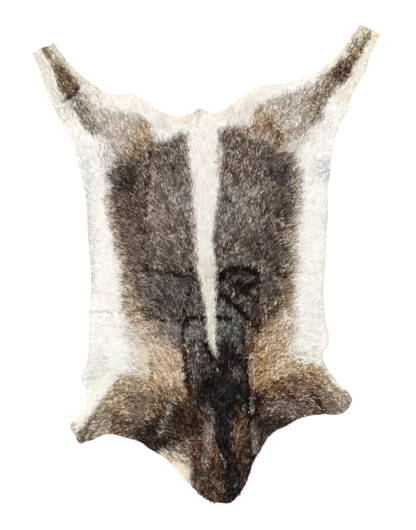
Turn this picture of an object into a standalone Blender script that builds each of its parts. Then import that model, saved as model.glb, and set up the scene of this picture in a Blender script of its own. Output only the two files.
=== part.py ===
"""A goatskin with its hair on, lying flat with the hair side up.

Metres, +Z up. The flesh side is the flat face at z = 0. +Y runs along the back from
the neck to the rump, +X to the right of the hide as seen from above, and the origin
is on the flesh side in the middle of the hide's length and width.

One closed body: its flat underside is the skin, and its lumpy top is the coat as far
as the lying hair reaches, thick over the back and neck, thin on the belly and shanks,
with the creases of a skin that was stored folded, and short locks round the rim.
"""

import math
import random
from collections import namedtuple

import bmesh
import bpy
from mathutils import Vector, geometry, kdtree, noise

MM = 0.001

# Driving dimensions
HIDE_LENGTH = 1008 * MM
SKIN_THICKNESS = 1.5 * MM
COAT_DEPTH = 4.6 * MM
LEAST_COAT = 0.6 * MM
RIM_DEPTH = 1.5 * MM
RIM_ROUNDING = 30 * MM
RIM_FULLNESS = 0.75

# The tables below are drawn in millimetres from the middle of a hide this long
DRAWN_LENGTH = 1008.0
DRAWN = HIDE_LENGTH / DRAWN_LENGTH

# Mesh steps, and how near two points of a face may come
RIM_STEP = 9 * MM
RIM_GAP = 4 * MM
CREASE_STEP = 9 * MM
CREASE_GAP = 4 * MM
TOP_STEP = 12 * MM
TOP_GAP = 8 * MM
TOP_WANDER = 1.5 * MM
UNDERSIDE_STEP = 60 * MM
UNDERSIDE_GAP = 30 * MM
EDGE_CLEARANCE = 0.4
CURVE_STEPS = 10
WELD = 1e-7

# How far inside the rim the skin's cut edge and the coat's shoulder lie
SKIN_INSET = 1.2 * MM
SHOULDER_INSET = 5.5 * MM

# Unevenness of the coat: broad waves and tufts
WAVE_SIZE = 95 * MM
WAVE_DEPTH = 0.9 * MM
TUFT_SIZE = 24 * MM
TUFT_DEPTH = 0.7 * MM
SEED = 11

COAT_COLOUR = (0.115, 0.088, 0.066)
COAT_ROUGHNESS = 0.72
SHARP_ANGLE = 50

# Share of a lock's length that it hangs out by, and that the dip beside it goes in by
LOCK_OUT = (0.45, 1.0)
LOCK_IN = (0.1, 0.35)

# x, y: a point of the outline. lock: how far the hair hangs over the edge there.
Rim = namedtuple("Rim", "x y lock corner")

# Clockwise from the outer corner of the left hind leg, seen from above
LEFT_SHANK_END = (
    Rim(-365.6, 441.0, 0.6, True),
    Rim(-343.8, 454.9, 0.8, False),
    Rim(-326.0, 460.1, 0.8, False),
    Rim(-320.7, 466.6, 0.6, True),
)
LEFT_LEG_INNER_EDGE = (
    Rim(-310.0, 450.5, 0.8, False),
    Rim(-290.4, 425.7, 0.8, False),
    Rim(-272.8, 406.1, 0.8, False),
    Rim(-233.7, 374.9, 0.6, False),
    Rim(-196.4, 355.5, 0.6, False),
)
RUMP_EDGE = (
    Rim(-155.6, 356.6, 0.6, False),
    Rim(-120.1, 338.1, 0.6, False),
    Rim(-86.0, 316.9, 0.6, False),
    Rim(-50.8, 309.5, 0.8, False),
    Rim(-31.3, 316.7, 1.2, False),
    Rim(-14.5, 327.0, 2.0, True),
    Rim(0.2, 321.7, 1.2, False),
    Rim(16.8, 314.6, 0.8, False),
    Rim(57.8, 338.7, 0.6, False),
    Rim(107.3, 370.7, 0.6, False),
    Rim(147.2, 377.2, 0.6, False),
    Rim(189.0, 383.9, 0.6, False),
)
RIGHT_LEG_INNER_EDGE = (
    Rim(217.4, 395.4, 0.8, False),
    Rim(243.7, 409.7, 0.8, False),
    Rim(269.0, 431.5, 0.8, False),
    Rim(291.9, 455.9, 0.8, False),
    Rim(309.5, 482.6, 0.8, False),
)
RIGHT_SHANK_END = (
    Rim(323.8, 503.8, 0.6, True),
    Rim(350.5, 490.6, 0.8, False),
    Rim(365.6, 480.7, 0.6, True),
)
RIGHT_LEG_OUTER_EDGE = (
    Rim(345.0, 438.1, 1.2, False),
    Rim(338.1, 411.6, 1.2, False),
    Rim(309.5, 359.9, 1.2, False),
    Rim(299.0, 328.0, 1.2, False),
    Rim(274.1, 274.9, 1.2, False),
    Rim(261.7, 214.6, 1.2, False),
    Rim(260.0, 181.4, 1.2, False),
)
RIGHT_FLANK = (
    Rim(254.6, 158.0, 1.2, False),
    Rim(256.4, 122.6, 1.2, False),
    Rim(252.2, 47.7, 1.2, False),
    Rim(249.3, -16.0, 1.2, False),
    Rim(246.5, -58.0, 1.2, False),
    Rim(250.4, -114.9, 1.4, False),
    Rim(258.1, -166.3, 1.6, False),
    Rim(245.1, -189.4, 1.6, False),
)
RIGHT_FORELEG = (
    Rim(256.4, -222.4, 2.0, False),
    Rim(273.0, -243.0, 2.2, False),
    Rim(281.5, -258.4, 2.4, False),
    Rim(297.2, -267.5, 2.4, False),
    Rim(307.9, -285.2, 2.4, True),
    Rim(300.7, -301.1, 2.6, False),
    Rim(286.7, -314.2, 2.8, False),
    Rim(245.7, -316.3, 3.0, False),
    Rim(203.1, -322.6, 3.2, False),
    Rim(164.2, -342.7, 3.2, False),
)
NECK_RIGHT_EDGE = (
    Rim(146.4, -350.9, 3.0, False),
    Rim(125.8, -370.4, 3.0, False),
    Rim(114.2, -393.5, 3.0, False),
    Rim(99.5, -416.4, 3.0, False),
    Rim(91.4, -444.8, 3.0, False),
    Rim(68.3, -487.4, 2.8, False),
)
NECK_END = (
    Rim(50.6, -503.0, 1.4, False),
    Rim(31.1, -503.0, 1.0, False),
    Rim(4.4, -497.4, 1.4, False),
)
NECK_LEFT_EDGE = (
    Rim(-31.3, -466.2, 2.0, False),
    Rim(-65.1, -430.7, 2.4, False),
    Rim(-81.1, -411.2, 2.8, False),
    Rim(-121.8, -386.4, 3.2, False),
    Rim(-134.2, -376.0, 3.2, False),
)
LEFT_FORELEG = (
    Rim(-169.7, -365.0, 3.2, False),
    Rim(-205.2, -357.5, 2.6, False),
    Rim(-244.2, -371.5, 2.4, False),
    Rim(-265.6, -379.3, 2.0, True),
    Rim(-286.9, -341.9, 2.0, True),
    Rim(-272.8, -317.1, 1.6, False),
    Rim(-254.9, -288.8, 1.6, False),
    Rim(-250.7, -265.7, 1.6, False),
    Rim(-262.7, -239.8, 1.6, False),
    Rim(-251.4, -210.6, 1.6, False),
)
LEFT_FLANK = (
    Rim(-246.1, -150.4, 1.2, False),
    Rim(-246.1, -98.9, 1.0, True),
    Rim(-241.5, -65.1, 1.2, False),
    Rim(-243.4, -1.3, 1.2, False),
    Rim(-248.6, 65.5, 1.2, False),
    Rim(-251.4, 129.4, 1.2, False),
)
LEFT_LEG_OUTER_EDGE = (
    Rim(-264.5, 196.8, 1.2, False),
    Rim(-290.5, 271.3, 1.2, False),
    Rim(-320.0, 328.0, 1.2, False),
    Rim(-340.6, 381.4, 1.2, False),
    Rim(-350.5, 409.7, 1.0, False),
)
OUTLINE = (
    LEFT_SHANK_END
    + LEFT_LEG_INNER_EDGE
    + RUMP_EDGE
    + RIGHT_LEG_INNER_EDGE
    + RIGHT_SHANK_END
    + RIGHT_LEG_OUTER_EDGE
    + RIGHT_FLANK
    + RIGHT_FORELEG
    + NECK_RIGHT_EDGE
    + NECK_END
    + NECK_LEFT_EDGE
    + LEFT_FORELEG
    + LEFT_FLANK
    + LEFT_LEG_OUTER_EDGE
)

# How much deeper (or shallower) the coat is, in a soft oval about x, y
Coat = namedtuple("Coat", "place x y reach_x reach_y extra")
COAT = (
    Coat("back", 0.0, 60.0, 130.0, 260.0, 1.6),
    Coat("neck", 20.0, -380.0, 110.0, 150.0, 2.4),
    Coat("left belly", -225.0, 20.0, 50.0, 220.0, -1.7),
    Coat("right belly", 230.0, 20.0, 55.0, 220.0, -1.7),
    Coat("left shank", -320.0, 400.0, 80.0, 90.0, -2.0),
    Coat("right shank", 325.0, 420.0, 80.0, 100.0, -2.0),
    Coat("rump edge", 0.0, 330.0, 190.0, 45.0, -1.6),
)

# path: the crease's points. width: half its width. rise: height of a ridge, or below 0
# the depth of a trough.
Crease = namedtuple("Crease", "name path width rise")
CREASES = (
    Crease("left storage fold", ((-119.5, 219.2), (-118.4, -85.3)), 9.0, 1.1),
    Crease("right storage fold", ((115.7, 198.2), (115.7, -137.8)), 9.0, 1.1),
    Crease("cross fold", ((-246.1, -98.9), (-159.4, -97.9), (-1.9, -97.9)), 8.0, -1.8),
    Crease("left back crease", ((-96.4, -13.9), (-64.9, -22.3), (-18.7, -24.4)), 7.0, -2.2),
    Crease("left back wedge", ((-36.3, -53.8), (-48.1, -102.1)), 8.0, -2.6),
    Crease("left loin dimple", ((-43.9, -118.9), (-5.0, -109.4)), 8.0, -2.6),
    Crease("long crease", ((-48.1, -129.4), (-48.1, -173.5), (-46.0, -263.8)), 7.0, -3.0),
    Crease("right back nick", ((35.3, -58.0), (20.2, -81.1)), 7.0, -2.4),
    Crease("right slant", ((35.3, -58.0), (59.0, -82.1), (99.5, -123.9)), 7.0, -2.4),
    Crease("right loin dimple", ((23.3, -110.5), (54.8, -114.7)), 7.0, -2.2),
    Crease("right arc", ((33.8, -22.3), (61.1, -7.6), (103.1, -11.8), (111.5, -32.8)), 7.0, -1.5),
    Crease("right foreleg crease", ((227.0, -276.4), (245.3, -311.4)), 7.0, -2.4),
    Crease("left hind leg crease", ((-247.6, 383.0), (-268.6, 370.4), (-293.8, 343.1)), 8.0, -2.0),
    Crease("right flank crease", ((197.6, -171.4), (256.4, -173.5)), 8.0, 0.9),
)
CREASE_FADE = 14 * MM
CREASE_END = 0.35
CREASE_REACH = 2.2
CREASE_STEEPNESS = 1.2


def drawn(x, y):
    """A point of the tables, in metres on this hide."""
    return Vector((x * DRAWN, y * DRAWN))


def clear_scene():
    for old in list(bpy.data.objects):
        bpy.data.objects.remove(old, do_unlink=True)


def collection(name, hidden=False):
    made = bpy.data.collections.new(name)
    bpy.context.scene.collection.children.link(made)
    made.hide_render = hidden
    return made


def coat_material():
    material = bpy.data.materials.new("goat_coat")
    material.use_nodes = True
    shader = material.node_tree.nodes["Principled BSDF"]
    shader.inputs["Base Color"].default_value = (*COAT_COLOUR, 1.0)
    shader.inputs["Roughness"].default_value = COAT_ROUGHNESS
    shader.inputs["Metallic"].default_value = 0.0
    return material


def outline_guide(guides):
    """The outline as a closed Bezier curve: smooth, but for the corners of the legs."""
    curve = bpy.data.curves.new("hide_outline", "CURVE")
    curve.dimensions = "2D"
    curve.resolution_u = CURVE_STEPS
    curve.fill_mode = "NONE"
    spline = curve.splines.new("BEZIER")
    spline.bezier_points.add(len(OUTLINE) - 1)
    spline.use_cyclic_u = True
    for point, row in zip(spline.bezier_points, OUTLINE):
        handle = "VECTOR" if row.corner else "AUTO"
        point.co = drawn(row.x, row.y).to_3d()
        point.handle_left_type = handle
        point.handle_right_type = handle
    guide = bpy.data.objects.new("hide_outline", curve)
    guide.hide_render = True
    guide.display_type = "WIRE"
    guides.objects.link(guide)
    return guide


def curve_points(guide):
    """Points along the curve, and beside each one the length of lock that hangs over there."""
    bpy.context.view_layer.update()
    evaluated = guide.evaluated_get(bpy.context.evaluated_depsgraph_get())
    mesh = evaluated.to_mesh()
    points = [vertex.co.xy.copy() for vertex in mesh.vertices]
    evaluated.to_mesh_clear()
    rows = kdtree.KDTree(len(OUTLINE))
    for index, row in enumerate(OUTLINE):
        rows.insert(drawn(row.x, row.y).to_3d(), index)
    rows.balance()
    locks = [OUTLINE[rows.find(point.to_3d())[1]].lock * MM for point in points]
    return points, locks


def even_steps(points, locks, step):
    """The closed outline again, with points an even step apart."""
    lengths = [0.0]
    for index, point in enumerate(points):
        following = points[(index + 1) % len(points)]
        lengths.append(lengths[-1] + (following - point).length)
    count = round(lengths[-1] / step)
    count += count % 2
    even = []
    span = 0
    for index in range(count):
        along = lengths[-1] * index / count
        while lengths[span + 1] < along:
            span += 1
        part = (along - lengths[span]) / (lengths[span + 1] - lengths[span])
        following = points[(span + 1) % len(points)]
        even.append((points[span].lerp(following, part), locks[span]))
    return even


def outward(ring, index):
    """The unit vector out of a clockwise ring at one of its points."""
    along = ring[(index + 1) % len(ring)] - ring[index - 1]
    return Vector((-along.y, along.x)).normalized()


def rings(even):
    """The rim of the coat with its locks, the cut edge of the skin, and the shoulder of the coat."""
    draw = random.Random(SEED)
    base = [point for point, _ in even]
    rim = []
    skin = []
    shoulder = []
    for index, (point, lock) in enumerate(even):
        out = outward(base, index)
        if index % 2:
            reach = lock * draw.uniform(*LOCK_OUT)
        else:
            reach = -lock * draw.uniform(*LOCK_IN)
        rim.append(point + out * reach)
        skin.append(point - out * SKIN_INSET)
        shoulder.append(point - out * SHOULDER_INSET)
    return rim, skin, shoulder


def inside(point, ring):
    """Whether a line from the point to the right crosses the ring an odd number of times."""
    crossings = 0
    for index, start in enumerate(ring):
        end = ring[index - 1]
        if (start.y > point.y) != (end.y > point.y):
            across = start.x + (point.y - start.y) * (end.x - start.x) / (end.y - start.y)
            crossings += point.x < across
    return crossings % 2 == 1


def nearest_on(start, end, point):
    """How far along a straight run the point is, from 0 to 1, and its distance from the run."""
    run = end - start
    part = min(max((point - start).dot(run) / run.length_squared, 0.0), 1.0)
    return part, (start + run * part - point).length


def edge_distance(point, ring):
    return min(nearest_on(ring[index - 1], end, point)[1] for index, end in enumerate(ring))


class Bed:
    """Points of one face of the hide, none closer than a given gap to an earlier one."""

    def __init__(self, ring):
        self.ring = ring
        self.points = list(ring)
        self.cells = {}
        self.size = TOP_STEP
        for point in ring:
            self.cells.setdefault(self.cell(point), []).append(point)

    def cell(self, point):
        return (math.floor(point.x / self.size), math.floor(point.y / self.size))

    def add(self, point, gap):
        column, row = self.cell(point)
        reach = math.ceil(gap / self.size)
        for across in range(column - reach, column + reach + 1):
            for along in range(row - reach, row + reach + 1):
                for other in self.cells.get((across, along), ()):
                    if (other - point).length < gap:
                        return
        if not inside(point, self.ring):
            return
        if edge_distance(point, self.ring) > EDGE_CLEARANCE * gap:
            self.points.append(point)
            self.cells.setdefault((column, row), []).append(point)

    def fill(self, step, gap, wander):
        """Staggered rows all over, each point a little off its place."""
        draw = random.Random(SEED)
        low = Vector((min(p.x for p in self.ring), min(p.y for p in self.ring)))
        high = Vector((max(p.x for p in self.ring), max(p.y for p in self.ring)))
        row_step = step * math.sqrt(3) / 2
        for row in range(int((high.y - low.y) / row_step) + 1):
            for column in range(int((high.x - low.x) / step) + 2):
                x = low.x + (column - 0.5 * (row % 2)) * step + draw.uniform(-wander, wander)
                y = low.y + row * row_step + draw.uniform(-wander, wander)
                self.add(Vector((x, y)), gap)

    def triangles(self):
        """Triangles over the points, as rows of three numbers of them."""
        border = [list(range(len(self.ring)))]
        inside_border = 1
        made = geometry.delaunay_2d_cdt(self.points, [], border, inside_border, WELD)
        faces = made[2]
        origins = [found[0] for found in made[3]]
        return [[origins[corner] for corner in face] for face in faces]


def crease_rows(bed):
    """Points down the middle of each crease and along its two sides."""
    for crease in CREASES:
        path = [drawn(x, y) for x, y in crease.path]
        half = crease.width * MM
        for start, end in zip(path, path[1:]):
            run = end - start
            side = Vector((-run.y, run.x)).normalized()
            count = max(1, round(run.length / CREASE_STEP))
            for index in range(count + 1):
                middle = start.lerp(end, index / count)
                bed.add(middle, CREASE_GAP)
                bed.add(middle + side * half, CREASE_GAP)
                bed.add(middle - side * half, CREASE_GAP)


def crease_height(point, crease):
    """Height that one crease adds, falling off to its sides and its two ends."""
    path = [drawn(x, y) for x, y in crease.path]
    half = crease.width * MM
    total = sum((end - start).length for start, end in zip(path, path[1:]))
    nearest = math.inf
    along = 0.0
    walked = 0.0
    for start, end in zip(path, path[1:]):
        part, gap = nearest_on(start, end, point)
        length = (end - start).length
        if gap < nearest:
            nearest = gap
            along = walked + part * length
        walked += length
    if nearest > CREASE_REACH * half:
        return 0.0
    fade = min(1.0, CREASE_END + min(along, total - along) / CREASE_FADE)
    return crease.rise * MM * fade * math.exp(-CREASE_STEEPNESS * (nearest / half) ** 2)


def coat_height(point, ring):
    """Height of the coat's surface over the flat flesh side."""
    depth = COAT_DEPTH
    for zone in COAT:
        away = point - drawn(zone.x, zone.y)
        oval = (away.x / (zone.reach_x * MM)) ** 2 + (away.y / (zone.reach_y * MM)) ** 2
        depth += zone.extra * MM * math.exp(-oval)
    place = point.to_3d()
    depth += WAVE_DEPTH * noise.noise(place / WAVE_SIZE)
    depth += TUFT_DEPTH * noise.noise(place / TUFT_SIZE)
    depth += sum(crease_height(point, crease) for crease in CREASES)
    depth = max(depth, LEAST_COAT)
    edge = min(edge_distance(point, ring) / RIM_ROUNDING, 1.0)
    share = math.sin(edge * math.pi / 2) ** RIM_FULLNESS
    return SKIN_THICKNESS + RIM_DEPTH * (1 - share) + depth * share


def hide_mesh(even):
    """The whole hide: lumpy coat on top, flat flesh side below, and the low rim between."""
    rim, skin, shoulder = rings(even)
    top = Bed(rim)
    for point in shoulder:
        top.add(point, RIM_GAP)
    crease_rows(top)
    top.fill(TOP_STEP, TOP_GAP, TOP_WANDER)
    underside = Bed(skin)
    underside.fill(UNDERSIDE_STEP, UNDERSIDE_GAP, 0.0)

    mesh = bmesh.new()
    upper = []
    for index, point in enumerate(top.points):
        height = RIM_DEPTH if index < len(rim) else coat_height(point, rim)
        upper.append(mesh.verts.new((point.x, point.y, height)))
    lower = [mesh.verts.new((point.x, point.y, 0.0)) for point in underside.points]
    for face in top.triangles():
        mesh.faces.new([upper[corner] for corner in face])
    for face in underside.triangles():
        mesh.faces.new([lower[corner] for corner in reversed(face)])
    count = len(rim)
    for index in range(count):
        after = (index + 1) % count
        mesh.faces.new((upper[index], upper[after], lower[after], lower[index]))
    bmesh.ops.recalc_face_normals(mesh, faces=mesh.faces)
    return mesh


def centre_on_origin(mesh):
    """Puts the middle of the hide's length and width over the origin."""
    xs = [vertex.co.x for vertex in mesh.verts]
    ys = [vertex.co.y for vertex in mesh.verts]
    middle = Vector(((min(xs) + max(xs)) / 2, (min(ys) + max(ys)) / 2, 0.0))
    bmesh.ops.translate(mesh, vec=-middle, verts=mesh.verts)


def make_hide(parts, guides):
    points, locks = curve_points(outline_guide(guides))
    shaped = hide_mesh(even_steps(points, locks, RIM_STEP))
    centre_on_origin(shaped)
    data = bpy.data.meshes.new("hide")
    shaped.to_mesh(data)
    shaped.free()
    data.materials.append(coat_material())
    data.shade_smooth()
    data.set_sharp_from_angle(angle=math.radians(SHARP_ANGLE))
    parts.objects.link(bpy.data.objects.new("hide", data))


def main():
    clear_scene()
    parts = collection("goatskin")
    guides = collection("guides", hidden=True)
    make_hide(parts, guides)


main()
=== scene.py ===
"""A goatskin with its hair on, lying flat with the hair side up."""

import math
from collections import namedtuple

import bpy
import numpy as np
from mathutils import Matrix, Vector
from mathutils.bvhtree import BVHTree
from mathutils.geometry import delaunay_2d_cdt


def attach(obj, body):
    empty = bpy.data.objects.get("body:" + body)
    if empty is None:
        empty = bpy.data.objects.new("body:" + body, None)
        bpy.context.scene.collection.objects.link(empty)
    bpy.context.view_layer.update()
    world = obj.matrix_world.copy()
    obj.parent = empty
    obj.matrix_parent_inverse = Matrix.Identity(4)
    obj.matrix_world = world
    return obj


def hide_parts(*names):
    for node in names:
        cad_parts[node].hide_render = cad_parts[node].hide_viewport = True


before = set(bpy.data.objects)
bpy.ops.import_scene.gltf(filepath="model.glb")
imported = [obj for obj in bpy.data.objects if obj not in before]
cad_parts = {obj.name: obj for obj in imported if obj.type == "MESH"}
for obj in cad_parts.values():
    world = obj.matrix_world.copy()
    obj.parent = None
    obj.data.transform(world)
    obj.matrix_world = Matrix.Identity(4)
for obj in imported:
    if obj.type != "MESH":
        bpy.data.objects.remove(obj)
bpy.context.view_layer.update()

MM = 0.001
# Stand for a distance not yet found and for the square of no length
FAR = 1e9
LEAST_SQUARE = 1e-12

Mottle = namedtuple("Mottle", "share size seed")
Tone = namedtuple("Tone", "dark light ticking")
Marking = namedtuple("Marking", "place soft tone outline")
Streak = namedtuple("Streak", "place soft tone path")
Fold = namedtuple("Fold", "place path width rise")
Layer = namedtuple("Layer", "name pieces length rise width spread tufted scatter finish")
Finish = namedtuple("Finish", "root_depth roughness")
Leather = namedtuple("Leather", "name pale stained ghost strength")

# Sheet of skin
SKIN_THICKNESS = 1.5 * MM
SKIN_STEP = 7 * MM
SKIN_WAVE = 0.25 * MM
SKIN_WAVE_SIZE = 60 * MM
SKIN_WAVE_SEED = 31
SKIN_SETTLING = 12 * MM
RIM_CLEAR = 3.5 * MM
WELD = 0.01 * MM
LEVEL = 0.05 * MM

# Fields over the hide
FIELD_STEP = 2 * MM
CREASE_STEP = 1 * MM
FIELD_MARGIN = 14 * MM
BEFORE_LAST_POINT = 1.001
ABOVE_THE_COAT = 1.0
MOTTLE_REACH = 0.8
LAY_BLEND = 14 * MM

# Marks wander a little on the coat, and their edges are ruffled.
WANDER = 3 * MM
WANDER_SIZE = 30 * MM
WANDER_SEEDS = (3, 4)
RUFFLES = (Mottle(0.6, 11 * MM, 5), Mottle(0.4, 5 * MM, 6))
RUFFLE_BY_SCATTER = 0.5
RUFFLE_AT_EDGE = 0.55
EDGE_SHARPNESS = 0.7

# Creases part the hair. Shares are of a lock's reach.
CREASE_REACH = 10 * MM
CREASE_SOFT = 1 * MM
CREASE_EDGE = 0.8
PARTED_COVER = 0.5
SHARES_TRIED = (1.0, 0.85, 0.7, 0.55, 0.4, 0.25, 0.12)
CLEAR_OF_CREASE = 0.1
ROOM_IN_CREASE = 0.3
LEAST_ROOM_AT_CREASE = 0.12

# Hair at the rim
OVERHANG = 0.7 * MM
OVERHANG_FUZZ = 0.8 * MM
RIM_HALVINGS = 6
LEAST_ROOM_AT_RIM = 0.08
# Painted shade: hair tips near the rim are darkened by this share within this reach.
RIM_SHADE = 0.22
RIM_SHADE_REACH = 2.5 * MM

# Tufts that neighbouring locks lean towards
TUFT = 2.8 * MM
TUFT_SLENDERNESS = 3.6
TUFT_MARGIN = 4
TUFT_NEIGHBOURS = range(-2, 3)
TUFT_STRETCH = (0.8, 1.15)
TUFT_RISE = (0.45, 1.0)
TUFT_PULL = 1.6
TUFT_PULL_ASIDE = 0.6
TUFT_PULL_ALONG = 0.15

# Locks, which are a few hairs of one colour. Angles are in radians.
HAIR_SEED = 23
LOCKS_IN_A_PIECE = 13900
HAIRS_IN_A_LOCK = 4
LOCK_LENGTH = (0.93, 1.05)
LOCK_SWIRL = Mottle(0.10, 26 * MM, 11)
LOCK_TURN = 0.12
LOCK_STRAY = 0.05
READING_BAND = 9 * MM
HAIR_CORNERS = 4
HAIR_FACES = ((0, 1, 2), (2, 1, 3))
MAP_CORNERS = ((0.08, 0.08), (0.72, 0.28), (0.28, 0.72), (0.92, 0.92))

# Single hairs
HAIR_LENGTH = (0.78, 1.02)
HAIR_WIDTH = (0.75, 1.2)
WIDEST_FOR_LENGTH = 0.35
SPREAD_ALONG = 1.4
ROOT_TURN = 0.07
BEND_TURN = 0.10
HAIR_BEND = 0.42
HAIR_RISE = (0.96, 1.04)
BEND_RISE = 0.72
FULL_RISE_LENGTH = 8 * MM
LEAST_RISE = 0.2
HAIR_LEAN = 0.12
ROOT_SINK = 0.2 * MM
LOWEST_TIP = 0.4 * MM

# Where a lock's colour is read, and how shades spread between a tone's dark, 0, and its light, 1
SHOWING = (0.5, 0.72)
READ_AT_TUFT = 0.6
SCATTER_BY_TUFT = 0.8
SCATTER_BY_LOCK = 0.5
MIDDLE_SHADE = 0.30
SHADE_DRIFT = (Mottle(0.2, 12 * MM, 13), Mottle(0.14, 38 * MM, 14))
DARKEST_SHADE = -1.8
LIGHTEST_SHADE = 1.7
PALE_HUE_KEPT = 0.8
PALEST = 0.97
BRIGHTNESS_SHARES = np.array((0.21, 0.72, 0.07))

# Stretches of a hair from its root, 0, to its tip, 1, and the tint along them
ROOT_STRETCH = (0.1, 0.6)
BAND_STRETCH = (0.30, 0.55)
TIP_STRETCH = (0.72, 1.0)
RIM_STRETCH = (0.5, 0.95)
# The root tint darkens each root: partly the hair's own dark base, partly painted shade between the hairs.
ROOT_TINT = (0.42, 0.35, 0.28, 1)
TICKING_STRENGTH = 0.3
PALE_ROOT_EASING = 0.75

# Finishes
# Root depth is how far each root darkens, partly its own dark base and partly painted shade between the
# hairs.
FINISHES = {
    "undercoat hair": Finish(0.7, 0.7),
    "topcoat hair": Finish(0.55, 0.6),
    "guard hair": Finish(0.45, 0.55),
}
LEATHERS = (
    Leather("flesh side", (0.72, 0.66, 0.56, 1), (0.55, 0.47, 0.37, 1), 0.12, 0.6),
    Leather("cut edge", (0.70, 0.62, 0.50, 1), (0.52, 0.43, 0.32, 1), 0.3, 0.4),
)
STRAND_GRAIN = 900.0
FINE_GRAIN = 700.0
BROAD_GRAIN = 14.0
FINE_SHARE = 0.7
BROAD_SHARE = 0.3
GRAIN_ROUGHNESS = 0.15

# Camera, floor and light
LENS = 85.0
SENSOR = 36.0
PICTURE_SPAN = 1.113
CAMERA_PLACE = (0.0044, -0.0013)
FLOOR_SIDE = 9.0
FLOOR_DROP = 0.3 * MM
FLOOR_COLOUR = (0.93, 0.93, 0.93, 1)
SKY_COLOUR = (1, 1, 1, 1)
SKY_STRENGTH = 0.9
LAMP_SIDE = 2.4
LAMP_PLACE = (-0.9, 0.7, 2.6)
LAMP_POWER = 42.0

# Layers of the coat from the skin outwards. Lengths and rises are shares of the whole coat's,
# and widths and spreads are in millimetres. Tufted is how far the tufts show in rise and shade,
# and scatter is how far the shades of single locks differ.
LAYERS = (
    Layer("undercoat", 2, 0.72, 0.60, 0.95, 0.55, 0.60, 0.30, "undercoat hair"),
    Layer("topcoat", 4, 1.00, 1.00, 0.90, 0.55, 0.60, 0.40, "topcoat hair"),
    Layer("guard_hair", 2, 0.60, 1.06, 1.50, 3.00, 0.10, 1.50, "guard hair"),
)

# Raised folds of the skin itself, in millimetres from the middle of the hide
FOLDS = (
    Fold("left storage fold", ((-119.5, 219.2), (-118.4, -85.3)), 10.0, 0.9),
    Fold("right storage fold", ((115.7, 198.2), (115.7, -137.8)), 10.0, 0.9),
    Fold("right flank crease", ((197.6, -171.4), (256.4, -173.5)), 8.0, 0.7),
)

# Tones that more than one mark has. The ground is the colour of the coat where no mark lies.
GROUND = Tone((240, 236, 230), (254, 253, 250), 0.1)
# Crease tones are painted shade in the creases, mixed with the dark underfur of the parted hair.
CREASE_DARK = Tone((8, 5, 4), (33, 24, 19), 0.1)
CREASE_BROWN = Tone((27, 15, 9), (62, 44, 32), 0.1)
FLANK_RIM_SHADE = Tone((205, 203, 198), (247, 244, 239), 0.5)
TAN_CREAM = Tone((206, 181, 147), (250, 241, 221), 0.6)
GREY_SHADE = Tone((204, 201, 196), (232, 230, 226), 0.1)
GOLD_LINE = Tone((108, 76, 44), (200, 161, 120), 0.5)
# Painted sheen: light reflected off dark hair, put into its colour.
PAINTED_SHEEN = Tone((54, 48, 44), (127, 121, 115), 0.5)
NECK_PALE = Tone((85, 72, 65), (161, 148, 137), 0.6)
# The hair parts along streaks of these. Their dark colour is painted shade in the creases, together with
# the dark underfur that a parting shows.
PARTED_TONES = (CREASE_DARK, CREASE_BROWN)

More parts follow.
